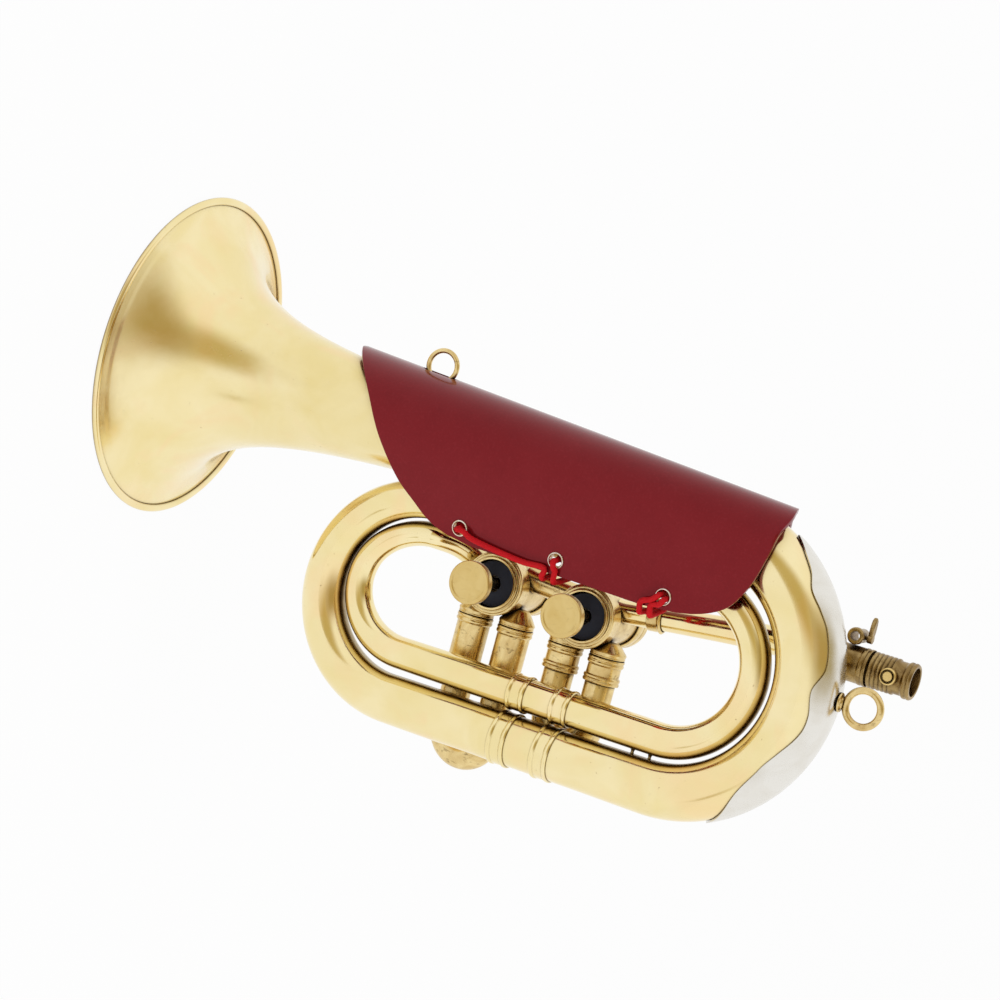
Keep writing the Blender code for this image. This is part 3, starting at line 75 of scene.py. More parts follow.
# Loops
LEFT_BOW_X = -29.0
RIGHT_BOW_X = 72.0
SECOND_TUBE_Y = -24.3
INNER_LOWER_Y = -78.8
OUTER_LOWER_Y = -95.4
THIRD_TUBE_Y = -36.2
RIGHT_BOW_RADIUS = 11.3
RIGHT_BOW_FOOT_RADIUS = 9.35
OUTER_LOWER_RADIUS = 8.95
LEFT_BOW_RADIUS = 7.6
SECOND_TUBE_RADIUS_LEFT = 6.4
SECOND_TUBE_RADIUS_RIGHT = 6.0
INNER_RIGHT_BOW_RADIUS = 5.5
INNER_LOWER_RADIUS = 5.9
INNER_LOWER_RADIUS_LEFT = 5.6
INNER_LEFT_BOW_RADIUS = 4.7
INNER_LEFT_BOW_REACH = 22.4
BOW_END = 3.0
OUTER_FERRULE_X = (18.7, 35.4)
INNER_FERRULE_X = (19.7, 36.4)
FERRULE_WIDTH = 6.6
FERRULE_BEAD = 0.55
FERRULE_BEAD_WIDTH = 0.72
FERRULE_BAND = 0.16
FERRULE_GROOVE = 0.1
FERRULE_GAP = 0.2

# Valves
VALVE_X = (-4.0, 32.1)
VALVE_Y = (-46.3, -47.6)
CAP_TOP_Z = -4.0
CAP_HEIGHT = 9.0
CAP_RADIUS = 11.25
CAP_RECESS_RADIUS = 8.3
CAP_RECESS_DEPTH = 3.4
CAP_WEB = 1.2
CASING_RADIUS = 9.9
CASING_WALL = 1.2
BOTTOM_CAP_RADIUS = 11.0
BOTTOM_CAP_HEIGHT = 8.0
BOTTOM_CAP_FLOOR = 2.2
VENT_RADIUS = 1.5
PISTON_LENGTH = 13.0
STROKE = 12.5
SPRING_CLOSED = 2.5
STEM_RADIUS = 2.0
STEM_HOLE_RADIUS = 2.5
STEM_SEAT = 2.7
PIN_RADIUS = 1.2
PIN_LENGTH = 2.2
BUTTON_RADIUS = 7.6
BUTTON_HEIGHT = 4.4
BUTTON_TOP_Z = 14.2
BUTTON_HUB_RADIUS = 3.4
FELT_THICKNESS = 1.6
SPRING_WIRE_RADIUS = 0.4
SPRING_RADIUS_TOP = 5.2
SPRING_RADIUS_BOTTOM = 6.8
SPRING_TURNS = 4
WEB_TOP_Z = CAP_TOP_Z - CAP_RECESS_DEPTH
WEB_FOOT_Z = WEB_TOP_Z - CAP_WEB
PISTON_TOP_Z = WEB_FOOT_Z - 3 * GAP
CASING_BOTTOM_Z = PISTON_TOP_Z - PISTON_LENGTH - STROKE - SPRING_CLOSED
PORT_Y_OFFSET = 4.2
PORT_Z = -18.0
PORT_PIPE_RADIUS = 4.4

# Leadpipe, receiver, shank and lyre holder
LEADPIPE_Z = -19.0
LEADPIPE_RADIUS_VALVE = 4.0
LEADPIPE_RADIUS_END = 5.2
LEADPIPE_END_X = 117.0
SOCKET_END_X = 131.0
RECEIVER_Y = -36.6
SOCKET_RADIUS = 6.2
SHANK_END_X = 147.0
SHANK_RADIUS = 5.7
SHANK_BORE_RADIUS = 4.9
SHANK_PLUG_RADIUS = SHANK_BORE_RADIUS + 0.8
SHANK_RIM_RADIUS = 6.3
SHANK_INSERT = 10.0
SHANK_RINGS = 6
SHANK_RING_PITCH = 1.55
STUD_X = 139.6
STUD_RADIUS = 2.9
LYRE_X = 124.2
LYRE_Y = -27.2
LYRE_RADIUS = 2.9
LYRE_HOLE_RADIUS = 1.6
LYRE_HEIGHT = 9.0
STAY_X = 110.0
STAY_FLANGE, STAY_WAIST = 2.6, 1.5

# Valve slides
LEG_OFFSET = 8.0
LEG_Z = -16.4
LEG_RADIUS = 5.9
LEG_WALL = 0.55
LEG_TOP_Y = -60.0
ELBOW_DROP = 7.0
ELBOW_TOP_RADIUS = 3.4
LEG_END_Y = (-84.0, -69.0)
COLLAR_RADIUS = 6.5
COLLAR = ((-0.1, 0.0), (0.0, 0.6), (-0.25, 1.2), (0.0, 1.8), (-0.1, 2.4))  # (out, along) from its end
COLLAR_SHOULDER = 2.8
SLIDE_RADIUS = 4.9
SLIDE_BOW_RADIUS = 5.4
SLIDE_BOW_Y = (-100.4, -84.6)
SLIDE_INSERT = (16.0, 7.4)

# Bow guard and rings
GUARD_THICKNESS = 0.6
# (degrees along the bow, degrees round it)
GUARD_EDGE = ((60, 2), (53, 21), (46, 33), (40, 46), (32, 43), (25, 39), (12, 44), (4, 63),
              (-6, 56), (-12, 56), (-24, 70), (-33, 74), (-48, 60), (-64, 2))
RING_RADIUS = 6.0
RING_WIRE_RADIUS = 1.25
RING_ANGLE = math.radians(1.5)
TOP_RING_X = -41.5
TOP_RING_RADIUS = 5.5
TOP_RING_WIRE_RADIUS = 0.9

# Leather guard, eyelets and lacing
LEATHER = 1.8
LEATHER_BEVEL = 0.35
LEATHER_X = (-74.0, 98.0)
LEATHER_TOP_Y = (20.4, 8.0)
LEATHER_RADIUS = (20.0, 13.2)
LEATHER_EDGE_Z = 9.6
FRONT, BACK = 1, -1
FLAP_Y = {FRONT: (-33.0, -37.0), BACK: (-30.5, -32.0)}
# (share of the way down a flap, x)
LEATHER_LEFT = ((0.0, -72.6), (0.05, -72.3), (0.2, -66.2), (0.41, -55.7), (0.6, -47.9), (0.77, -39.6),
                (0.86, -32.6), (0.93, -26.6), (0.975, -19.5), (1.0, -9.0))
LEATHER_RIGHT = ((0.0, 98.6), (0.16, 100.2), (0.3, 98.8), (0.44, 97.5), (0.63, 94.5), (0.76, 91.0),
                 (0.86, 86.6), (0.935, 79.0), (0.98, 69.5), (1.0, 58.0))
LEATHER_RIGHT_BACK = ((0.0, 98.6), (0.2, 94.4), (0.4, 92.5), (0.63, 89.5), (0.8, 85.0), (0.93, 74.0),
                      (1.0, 58.0))
SLOT_CORNER = 2.6
SLOT_ROOM = 0.6
EYELET_X = (-13.6, 24.0, 64.9)
EYELET_UP = 5.0
EYELET_RADIUS = 3.0
EYELET_HOLE_RADIUS = 2.3
EYELET_WALL = 0.3
EYELET_FLANGE = 0.5
LACE_RADIUS = 0.9
LACE_EDGE_X = (20.4, 24.9, 59.5)
LACE_UNDER_Y = -36.2
LACE_INSIDE_Z = 7.3
PLAIT = 1.5
YARNS = 4

# Camera, in the instrument's axes
LENS = 108.0
CAMERA_PLACE = Vector((423.31, 60.16, 938.81))
CAMERA_RIGHT = Vector((0.86982, 0.25869, -0.42012))
CAMERA_UP = Vector((-0.26592, 0.96306, 0.04245))
CAMERA_BACK = Vector((0.41558, 0.07479, 0.90648))
OBJECT_MIDDLE = Vector((5.0, -40.0, 0.0))

FINE = 56  # sides of the tubes
TURNED = 96  # steps of the turned pieces
X, Y, Z = Vector((1, 0, 0)), Vector((0, 1, 0)), Vector((0, 0, 1))

BELL_TUBE_END = Vector((RIGHT_BOW_X, -BELL_TUBE_DROP, 0.0))
RIM_CENTRE = Vector((RIM_X, 0.0, 0.0))
BELL_AXIS = (BELL_TUBE_END - RIM_CENTRE).normalized()
BELL_TUBE_LENGTH = (BELL_TUBE_END - RIM_CENTRE).length
OUTER_BOW_Y = (BELL_TUBE_END.y + OUTER_LOWER_Y) / 2
OUTER_BOW_REACH = (BELL_TUBE_END.y - OUTER_LOWER_Y) / 2

# The bell stands on its rim, the buttons in front
TURN = Matrix((BELL_AXIS.cross(Z), -Z, BELL_AXIS)).to_4x4()
RIM_LOW, RIM_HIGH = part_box("bell_rim_wire")
AXES = (Matrix.Translation((RIM_LOW + RIM_HIGH) / 2) @ TURN @ Matrix.Scale(MM, 4)
        @ Matrix.Translation(-RIM_CENTRE))


# Curves and outlines
def blend_points(points, x):
    """Height at x of a smooth curve through (x, height) points."""
    points = sorted(points)
    x = min(max(x, points[0][0]), points[-1][0])
    i = next(i for i in range(len(points) - 1) if x <= points[i + 1][0])
    (x0, y0), (x1, y1) = points[i], points[i + 1]
    before = points[max(i - 1, 0)]
    after = points[min(i + 2, len(points) - 1)]
    slope0 = (y1 - before[1]) / (x1 - before[0])
    slope1 = (after[1] - y0) / (after[0] - x0)
    width = x1 - x0
    t = (x - x0) / width
    return ((2 * t**3 - 3 * t**2 + 1) * y0 + (t**3 - 2 * t**2 + t) * width * slope0
            + (3 * t**2 - 2 * t**3) * y1 + (t**3 - t**2) * width * slope1)


def smooth_step(t):
    t = min(max(t, 0.0), 1.0)
    return t * t * (3 - 2 * t)


def smooth_path(points, per_span):
    """Points along a smooth curve through the given ones."""
    points = [Vector(p) for p in points]
    ends = [2 * points[0] - points[1]] + points + [2 * points[-1] - points[-2]]
    path = []
    for i in range(1, len(ends) - 2):
        a, b, c, d = ends[i - 1 : i + 3]
        bend = 2 * a - 5 * b + 4 * c - d
        twist = 3 * b - a - 3 * c + d
        for k in range(per_span):
            t = k / per_span
            path.append(0.5 * (2 * b + (c - a) * t + bend * t * t + twist * t**3))
    return path + [points[-1]]


def evenly(points, step):
    """Points at an even spacing along a path."""
    path = [points[0]]
    left = step
    for a, b in zip(points, points[1:]):
        span = (b - a).length
        while span >= left > 0:
            a = a + (b - a) * (left / span)
            path.append(a)
            span = (b - a).length
            left = step
        left -= span
    return path


def circle(count):
    return [2 * math.pi * k / count for k in range(count)]


def shares(count):
    return [k / count for k in range(count + 1)]


def arc(centre, radius, start, end, count, z=0.0):
    points = []
    for share in shares(count):
        angle = math.radians(start + (end - start) * share)
        points.append(Vector((centre[0] + radius * math.cos(angle), centre[1] + radius * math.sin(angle), z)))
    return points


def runs(points):
    """The length of the path up to each of its points."""
    lengths = [0.0]
    for a, b in zip(points, points[1:]):
        lengths.append(lengths[-1] + (b - a).length)
    return lengths


def along(points, marks):
    """A radius for each point, read smoothly from (share of the length, radius) marks."""
    lengths = runs(points)
    return [blend_points(marks, length / lengths[-1]) for length in lengths]


def offset(radius, height, *steps):
    """Outline points at (out, up) steps from one radius and height."""
    return [(radius + out, height + up) for out, up in steps]


def soften(outline, size, closed=True):
    """The outline with its corners rounded."""
    rounded = []
    count = len(outline)
    for i, corner in enumerate(outline):
        here = Vector(corner)
        back = Vector(outline[i - 1]) - here
        ahead = Vector(outline[(i + 1) % count]) - here
        if (not closed and i in (0, count - 1)) or back.angle(-ahead) < math.radians(12):
            rounded.append(here)
            continue
        reach = min(size, 0.42 * back.length, 0.42 * ahead.length)
        first = here + back.normalized() * reach
        last = here + ahead.normalized() * reach
        for t in shares(4):
            rounded.append((1 - t) ** 2 * first + 2 * t * (1 - t) * here + t * t * last)
    return rounded


# Meshes
def mesh_from(shape):
    mesh = bpy.data.meshes.new("shape")
    shape.to_mesh(mesh)
    shape.free()
    return mesh


def smoothed(mesh, angle):
    mesh.shade_smooth()
    mesh.set_sharp_from_angle(angle=math.radians(angle))
    return mesh


def finished(shape, angle=38):
    bmesh.ops.recalc_face_normals(shape, faces=shape.faces)
    return smoothed(mesh_from(shape), angle)


def joined(meshes, angle):
    whole = bmesh.new()
    for mesh in meshes:
        whole.from_mesh(mesh)
    return finished(whole, angle)


def bridge(shape, first, second):
    """Faces between two rings of vertices, either of which may be a single one."""
    count = max(len(first), len(second))
    for k in range(count):
        after = (k + 1) % count
        corners = [first[k % len(first)], first[after % len(first)], second[after % len(second)],
                   second[k % len(second)]]
        kept = []
        for corner in corners:
            if corner not in kept:
                kept.append(corner)
        shape.faces.new(kept)


def bridge_all(shape, rings):
    for first, second in zip(rings, rings[1:]):
        bridge(shape, first, second)


def loft(loops):
    """A closed shape through loops of as many points each."""
    shape = bmesh.new()
    rings = [[shape.verts.new(point) for point in loop] for loop in loops]
    bridge_all(shape, rings)
    shape.faces.new(rings[0])
    shape.faces.new(rings[-1])
    return shape


def lathe(outline, place, axis=Z, steps=TURNED, closed=True, round_size=0.18):
    """A turned mesh: closed outlines are rings, open ones begin and end on the axis."""
    if round_size:
        outline = soften(outline, round_size, closed)
    turn = Z.rotation_difference(Vector(axis)).to_matrix()
    place = Vector(place)
    shape = bmesh.new()
    rings = []
    for radius, height in outline:
        spins = circle(steps) if radius else [0.0]
        ring = [Vector((radius * math.cos(spin), radius * math.sin(spin), height)) for spin in spins]
        rings.append([shape.verts.new(place + turn @ point) for point in ring])
    bridge_all(shape, rings)
    if closed:
        bridge(shape, rings[-1], rings[0])
    return finished(shape)


def directions(points, cyclic):
    """Two directions square to the path at each point, carried along it without twist."""
    count = len(points)
    tangents = []
    for i in range(count):
        before = points[i - 1] if i or cyclic else points[0]
        after = points[(i + 1) % count] if i < count - 1 or cyclic else points[-1]
        tangents.append((after - before).normalized())
    side = tangents[0].orthogonal().normalized()
    pairs = []
    for i, tangent in enumerate(tangents):
        if i:
            side = tangents[i - 1].rotation_difference(tangent) @ side
        side = (side - tangent * side.dot(tangent)).normalized()
        pairs.append((side, tangent.cross(side)))
    return pairs


def sweep(points, radii, sides=FINE, wall=None, cyclic=False, swell=None, angle=38):
    """A tube along points, hollow where it has a wall. swell gives each vertex's share of the radius."""
    shape = bmesh.new()
    pairs = directions(points, cyclic)

    def ring(i, radius):
        verts = []
        for spin in circle(sides):
            size = radius * (swell(i, spin) if swell else 1.0)
            out = pairs[i][0] * math.cos(spin) + pairs[i][1] * math.sin(spin)
            verts.append(shape.verts.new(points[i] + out * size))
        return verts

    outer = [ring(i, radius) for i, radius in enumerate(radii)]
    bridge_all(shape, outer)
    if cyclic:
        bridge(shape, outer[-1], outer[0])
    elif wall:
        inner = [ring(i, radius - wall) for i, radius in enumerate(radii)]
        bridge_all(shape, inner)
        bridge(shape, outer[0], inner[0])
        bridge(shape, outer[-1], inner[-1])
    else:
        shape.faces.new(outer[0])
        shape.faces.new(outer[-1])
    return finished(shape, angle)


# Pieces
def add_object(name, data):
    obj = bpy.data.objects.new(name, data)
    bpy.context.scene.collection.objects.link(obj)
    return obj


def piece(name, mesh, slot, nodes=(), body=BODY, materials=None):
    """A piece in the instrument's axes that stands for CAD nodes and rides on their body."""
    mesh.name = name
    mesh.transform(AXES)
    mesh.materials.clear()
    for material in materials or [MATERIALS[slot]]:
        mesh.materials.append(material)
    obj = add_object(name, mesh)
    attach(obj, body)
    if nodes:
        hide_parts(*nodes)
    return obj


def fine(node, mesh, slot="brass", body=BODY, look=None):
    """The piece that stands for a node. look names its material where that isn't its slot's."""
    return piece(node + "_fine", mesh, slot, [node], body, [MATERIALS[look or slot]])


def turned(node, outline, place, axis=Z, steps=TURNED, slot="aged_brass", body=BODY, look=None, **form):
    return fine(node, lathe(outline, place, axis, steps, **form), slot, body, look)


def tube(node, points, marks, sides=FINE, slot="brass"):
    return fine(node, sweep(points, along(points, marks), sides, WALL), slot)


def give_material(node, slot):
    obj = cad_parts[node]
    obj.data.materials.clear()
    obj.data.materials.append(MATERIALS[slot])


# Materials
class Nodes:
    """The shader nodes of a material or a world."""

    def __init__(self, owner):
        owner.use_nodes = True
        self.tree = owner.node_tree

    def add(self, kind, values=(), output=0, **settings):
        """One output of a new node, with its settings made and its inputs fed."""
        made = self.tree.nodes.new("ShaderNode" + kind)
        for key, value in settings.items():
            setattr(made, key, value)
        for key, value in dict(values).items():
            self.feed(made.inputs[key], value)
        return made.outputs[output]

    def feed(self, socket, value):
        if isinstance(value, bpy.types.NodeSocket):
            self.tree.links.new(value, socket)
        else:
            socket.default_value = value

    def math(self, operation, *terms):
        return self.add("Math", enumerate(terms), operation=operation)

    def scaled(self, value, low, high, start=0.0, end=1.0, **settings):
        """The value spread from low..high to start..end, held at both ends."""
        return self.add("MapRange", {"Value": value, "From Min": low, "From Max": high, "To Min": start,
                                     "To Max": end}, **settings)

    def backdrop_share(self):
        """1 for rays that see the background directly, in metal or through glass."""
        path = self.tree.nodes.new("ShaderNodeLightPath").outputs
        share = path["Is Camera Ray"]
        for name in ("Is Glossy Ray", "Is Transmission Ray"):
            share = self.math("MAXIMUM", share, path[name])
        return share

    def surface(self, output, share, first, second):
        """Mixes two shaders into the output node."""
        mix = self.add("MixShader", {"Fac": share, 1: first, 2: second})
        self.feed(self.tree.nodes[output].inputs["Surface"], mix)


class Finish(Nodes):
    """A Principled material built up from procedural nodes, with its sizes in mm."""

    def __init__(self, name, colour, metallic, roughness):
        self.material = bpy.data.materials.new(name)
        super().__init__(self.material)
        self.shader = self.tree.nodes["Principled BSDF"].inputs
        self.place = self.add("TexCoord", output="Object")
        self.colour = (*colour, 1.0)
        self.roughness = roughness
        self.normal = None
        self.base(base_color=self.colour, metallic=metallic, roughness=roughness)

    def base(self, **values):
        """Sets what is the same all over the surface on the shader's own sockets."""
        for key, value in values.items():
            self.shader[key.replace("_", " ").title().replace("Ior", "IOR")].default_value = value

    def noise(self, size, detail=2.0, stretch=(1, 1, 1), warp=0.0, shift=0.0):
        """Noise from 0 to 1 with features of about that size."""
        place = self.add("Mapping", {"Vector": self.place, "Scale": stretch, "Location": [shift] * 3})
        return self.add("TexNoise", {"Vector": place, "Scale": 1 / (size * MM), "Detail": detail,
                                     "Distortion": warp}, "Fac")

    def patches(self, size, detail, low, high, end=1.0, start=0.0, **form):
        """Noise whose values from low to high spread from start to end."""
        return self.scaled(self.noise(size, detail, **form), low, high, start, end)

    def hollows(self, reach, low, high, share):
        """share deep in a gap that is narrower than reach, and 0 in the open."""
        open_sky = self.add("AmbientOcclusion", {"Distance": reach * MM}, "AO", samples=6)
        return self.scaled(open_sky, low, high, share, 0.0)

    def tint(self, share, colour):
        """Paints colour over what there is, by share."""
        self.colour = self.add("Mix", {0: share, 6: self.colour, 7: (*colour, 1.0)}, 2, data_type="RGBA")
        self.feed(self.shader["Base Color"], self.colour)

    def roughen(self, share, amount):
        self.roughness = self.math("ADD", self.roughness, self.math("MULTIPLY", share, amount))
        self.feed(self.shader["Roughness"], self.roughness)

    def bump(self, height, depth):
        """Raises the surface by up to depth."""
        values = {"Height": height, "Distance": depth * MM, "Strength": 1.0}
        if self.normal:
            values["Normal"] = self.normal
        self.normal = self.add("Bump", values)
        self.feed(self.shader["Normal"], self.normal)


def polished_brass(name, haze):
    made = Finish(name, (0.92, 0.79, 0.455), 1.0, haze)
    made.tint(made.patches(24, 3, 0.35, 0.75, 0.8, warp=0.6), (0.84, 0.68, 0.28))
    made.tint(made.patches(34, 3, 0.48, 0.66, 0.5, warp=1.4, shift=5.3), (0.93, 0.68, 0.36))
    # Painted shade: the brass turns dark brown on its flanks where other parts come within 10 mm, in soft
    # clouds.
    painted_flank_shade = made.hollows(10, 0.3, 0.85, 0.75)
    cloud = made.patches(11, 3, 0.3, 0.6, start=0.45, warp=1.0)
    made.tint(made.math("MULTIPLY", painted_flank_shade, cloud), (0.40, 0.27, 0.075))
    made.roughen(made.patches(9, 4, 0.35, 0.8, stretch=(1, 1, 0.35), warp=1.2), 0.09)
    hairlines = made.noise(0.5, 2, (1, 1, 0.05))
    made.roughen(made.scaled(hairlines, 0.55, 0.8), 0.06)
    made.bump(hairlines, 0.0006)
    pits = made.patches(1.1, 2, 0.735, 0.79, shift=3.1)
    made.tint(made.math("MULTIPLY", pits, 0.6), (0.3, 0.17, 0.05))
    made.roughen(pits, 0.25)
    # Partly real grime, partly painted shade: darker, rougher brass in gaps narrower than 4 mm, where the
    # tubes run close.
    grime_and_painted_shade = made.hollows(4, 0.34, 0.74, 0.95)
    worn = made.patches(3, 4, 0.3, 0.7, start=0.65)
    made.tint(made.math("MULTIPLY", grime_and_painted_shade, worn), (0.16, 0.085, 0.02))
    made.roughen(grime_and_painted_shade, 0.22)
    made.tint(made.hollows(0.7, 0.45, 0.85, 0.9), (0.10, 0.055, 0.015))
    made.bump(made.noise(7, 1), 0.02)
    made.base(coat_weight=0.4, coat_roughness=0.05)
    return made.material


def aged_brass(name, light, deep, haze, stained):
    made = Finish(name, light, 1.0, haze)
    made.tint(made.patches(8, 4, 0.35, 0.75, warp=1.2), deep)
    # Painted shade: dark brown where other parts come within 7 mm.
    made.tint(made.hollows(7, 0.3, 0.8, 0.8), (0.20, 0.11, 0.03))
    stain = made.patches(1.4, 5, 0.57, 0.8, stretch=(1, 1, 0.6), warp=0.8, shift=7.7)
    made.tint(made.math("MULTIPLY", stain, stained), (0.15, 0.085, 0.03))
    made.roughen(stain, 0.18)
    # Partly real grime, partly painted shade: darker, rougher brass in gaps narrower than 2.5 mm, such as
    # between the receiver's rings.
    grime_and_painted_shade = made.hollows(2.5, 0.35, 0.75, 0.9)
    made.tint(grime_and_painted_shade, (0.07, 0.04, 0.015))
    made.roughen(grime_and_painted_shade, 0.3)
    made.tint(made.hollows(0.7, 0.45, 0.9, 0.9), (0.05, 0.028, 0.01))
    made.roughen(made.patches(0.4, 2, 0.5, 0.8, stretch=(0.08, 1, 1)), 0.12)
    made.bump(made.noise(0.7, 3), 0.006)
    return made.material


def nickel_silver():
    made = Finish("nickel_silver", (0.80, 0.78, 0.73), 1.0, 0.17)
    made.tint(made.patches(12, 4, 0.4, 0.75, 0.6, warp=1.0), (0.70, 0.66, 0.58))
    made.roughen(made.patches(6, 5, 0.35, 0.75), 0.16)
    made.roughen(made.patches(0.4, 2, 0.55, 0.8, stretch=(1, 1, 0.06)), 0.1)
    made.tint(made.hollows(2, 0.3, 0.6, 0.7), (0.12, 0.10, 0.08))
    made.bump(made.noise(9, 2), 0.05)
    return made.material


def spring_steel():
    made = Finish("spring_steel", (0.55, 0.55, 0.56), 1.0, 0.28)
    made.tint(made.patches(2, 3, 0.45, 0.7), (0.36, 0.33, 0.30))
    made.roughen(made.noise(0.5, 2), 0.15)
    made.bump(made.noise(0.3, 2), 0.004)
    return made.material


def felt():
    made = Finish("blue_felt", (0.010, 0.013, 0.026), 0.0, 0.95)
    fibres = made.noise(0.35, 5, warp=3.0)
    made.tint(made.scaled(fibres, 0.45, 0.75), (0.026, 0.032, 0.056))
    made.bump(fibres, 0.25)
    made.base(sheen_weight=0.12, sheen_roughness=0.6)
    return made.material


def leather():
    """Smooth dyed hide: fine grain, soft cloudy dye and a waxed gloss."""
    made = Finish("burgundy_leather", (0.158, 0.0055, 0.0075), 0.0, 0.11)
    made.tint(made.patches(26, 4, 0.35, 0.7, warp=0.8), (0.175, 0.0085, 0.011))
    made.tint(made.patches(5, 5, 0.5, 0.8, 0.35), (0.12, 0.004, 0.006))
    grain = made.add("TexVoronoi", {"Vector": made.place, "Scale": 1 / (0.75 * MM)}, "Distance", feature="F1")
    made.tint(made.scaled(grain, 0.55, 0.9, 0.0, 0.22), (0.24, 0.02, 0.026))
    made.roughen(made.noise(4, 5), 0.07)
    made.roughen(made.patches(15, 5, 0.62, 0.78, stretch=(1, 1, 0.4), warp=1.5, shift=2.2), 0.12)
    made.bump(grain, 0.005)
    made.bump(made.noise(0.25, 3), 0.002)
    made.bump(made.noise(14, 1), 0.07)
    made.base(specular_ior_level=1.0, specular_tint=(1.0, 0.17, 0.20, 1.0))
    return made.material


def nap_of_hide(name, colour, roughness, size, warp, pale, depth):
    """The fibres of the hide where it is cut or split, paler than its face."""
    made = Finish(name, colour, 0.0, roughness)
    nap = made.noise(size, 5, warp=warp)
    made.tint(made.scaled(nap, 0.35, 0.75), pale)
    made.bump(nap, depth)
    return made.material


def cord_red():
    made = Finish("red_cord", (0.60, 0.003, 0.010), 0.0, 0.7)
    yarn = made.noise(0.22, 3, warp=1.5)
    made.tint(made.scaled(yarn, 0.4, 0.8), (0.74, 0.012, 0.018))
    # Painted shade: darker red in the hollows between the yarns and where the cord lies against the leather.
    made.tint(made.hollows(0.6, 0.35, 0.8, 0.6), (0.33, 0.0, 0.004))
    made.bump(yarn, 0.05)
    made.base(specular_ior_level=0.25)
    return made.material


def eyelet_metal():
    made = Finish("eyelet_nickel", (0.88, 0.83, 0.72), 1.0, 0.2)
    made.tint(made.patches(1.5, 4, 0.45, 0.75), (0.70, 0.60, 0.44))
    made.roughen(made.noise(0.6, 3), 0.15)
    made.tint(made.hollows(0.9, 0.3, 0.6, 0.6), (0.2, 0.12, 0.06))
    made.bump(made.noise(0.5, 3), 0.01)
    return made.material


MATERIALS = {
    "brass": polished_brass("polished_brass", 0.09),
    "bell_brass": polished_brass("bell_brass", 0.18),
    "aged_brass": aged_brass("aged_brass", (0.84, 0.66, 0.32), (0.62, 0.43, 0.17), 0.20, 0.8),
    "dark_brass": aged_brass("dark_brass", (0.44, 0.31, 0.13), (0.20, 0.12, 0.04), 0.26, 0.85),
    "button_brass": aged_brass("button_brass", (0.76, 0.57, 0.235), (0.70, 0.50, 0.18), 0.30, 0.15),
    "nickel_silver": nickel_silver(),
    "spring_steel": spring_steel(),
    "felt": felt(),
    "leather": leather(),
    "leather_back": nap_of_hide("leather_flesh_side", (0.17, 0.02, 0.022), 0.85, 0.6, 2.0,
                                (0.26, 0.045, 0.045), 0.12),
    "leather_edge": nap_of_hide("leather_edge", (0.46, 0.12, 0.10), 0.75, 0.5, 0.0, (0.60, 0.24, 0.19), 0.08),
    "cord": cord_red(),
    "eyelet": eyelet_metal(),
}


# Bell and loops
def bell_radius(s):
    rim = RIM_RADIUS - 2 * RIM_WIRE_RADIUS - GAP
    return BELL_NARROW + (rim - BELL_NARROW) * (1 + s / FLARE_SCALE) ** -FLARE_POWER


def bell_axis_point(s):
    return RIM_CENTRE + BELL_AXIS * s


def bell_tube_radius(s):
    if s <= BELL_LENGTH:
        return bell_radius(s)
    start = bell_radius(BELL_LENGTH)
    share = (s - BELL_LENGTH) / (BELL_TUBE_LENGTH - BELL_LENGTH)
    return start + (BELL_TUBE_RADIUS_RIGHT - start) * share


def make_bell():
    """The flare, with its sheet rolled over the wire and a fine step where the roll ends."""
    crowding = 2.2  # the stations lie closer towards the rim
    stations = [BELL_LENGTH * share**crowding for share in shares(80)]
    roll, step, slope = 1.6, 0.22, 0.3
    outer = [(bell_radius(s) + step * smooth_step((roll - s) / slope), s) for s in reversed(stations)]
    inner = [(bell_radius(s) - WALL, s) for s in stations]
    inner[0] = (bell_radius(0) - GAP, 0.0)
    steps = 192
    turned("bell", outer + inner, RIM_CENTRE, BELL_AXIS, steps, "brass", look="bell_brass", round_size=None)
    bead = RIM_WIRE_RADIUS + GAP / 2
    wire = [(RIM_RADIUS - bead + bead * math.cos(spin), RIM_WIRE_RADIUS * RIM_WIRE_FLAT * math.sin(spin))
            for spin in circle(24)]
    turned("bell_rim_wire", wire, RIM_CENTRE, BELL_AXIS, steps, "brass", round_size=None)


def ferrule_outline(radius):
    """Two beads with a band between them, and a fine groove on each side of the band."""
    band = radius + FERRULE_GAP + FERRULE_BAND
    half = FERRULE_WIDTH / 2
    bead = FERRULE_BEAD_WIDTH
    outline = []
    for share in shares(66):
        x = half * (1 - 2 * share)
        off = abs(abs(x) - (half - bead)) / bead
        rise = math.sqrt(max(0.0, 1 - off * off))
        groove = max(0.0, 1 - abs(abs(x) - (half - 2.3 * bead)) / FERRULE_BAND)
        outline.append((band + (FERRULE_BEAD - FERRULE_BAND) * rise - FERRULE_GROOVE * groove, x))
    return outline + [(radius, -half), (radius, half)]


def make_ferrules():
    for loop, places, y, radius in (("outer", OUTER_FERRULE_X, OUTER_LOWER_Y, OUTER_LOWER_RADIUS),
                                    ("inner", INNER_FERRULE_X, INNER_LOWER_Y, INNER_LOWER_RADIUS)):
        for side, x in zip(("left", "right"), places):
            outline = ferrule_outline(radius)
            turned(f"{loop}_ferrule_{side}", outline, (x, y, 0), X, 72, "brass", round_size=None)
        tube(f"{loop}_sleeve", [Vector((x, y, 0)) for x in places], ((0, radius), (1, radius)))


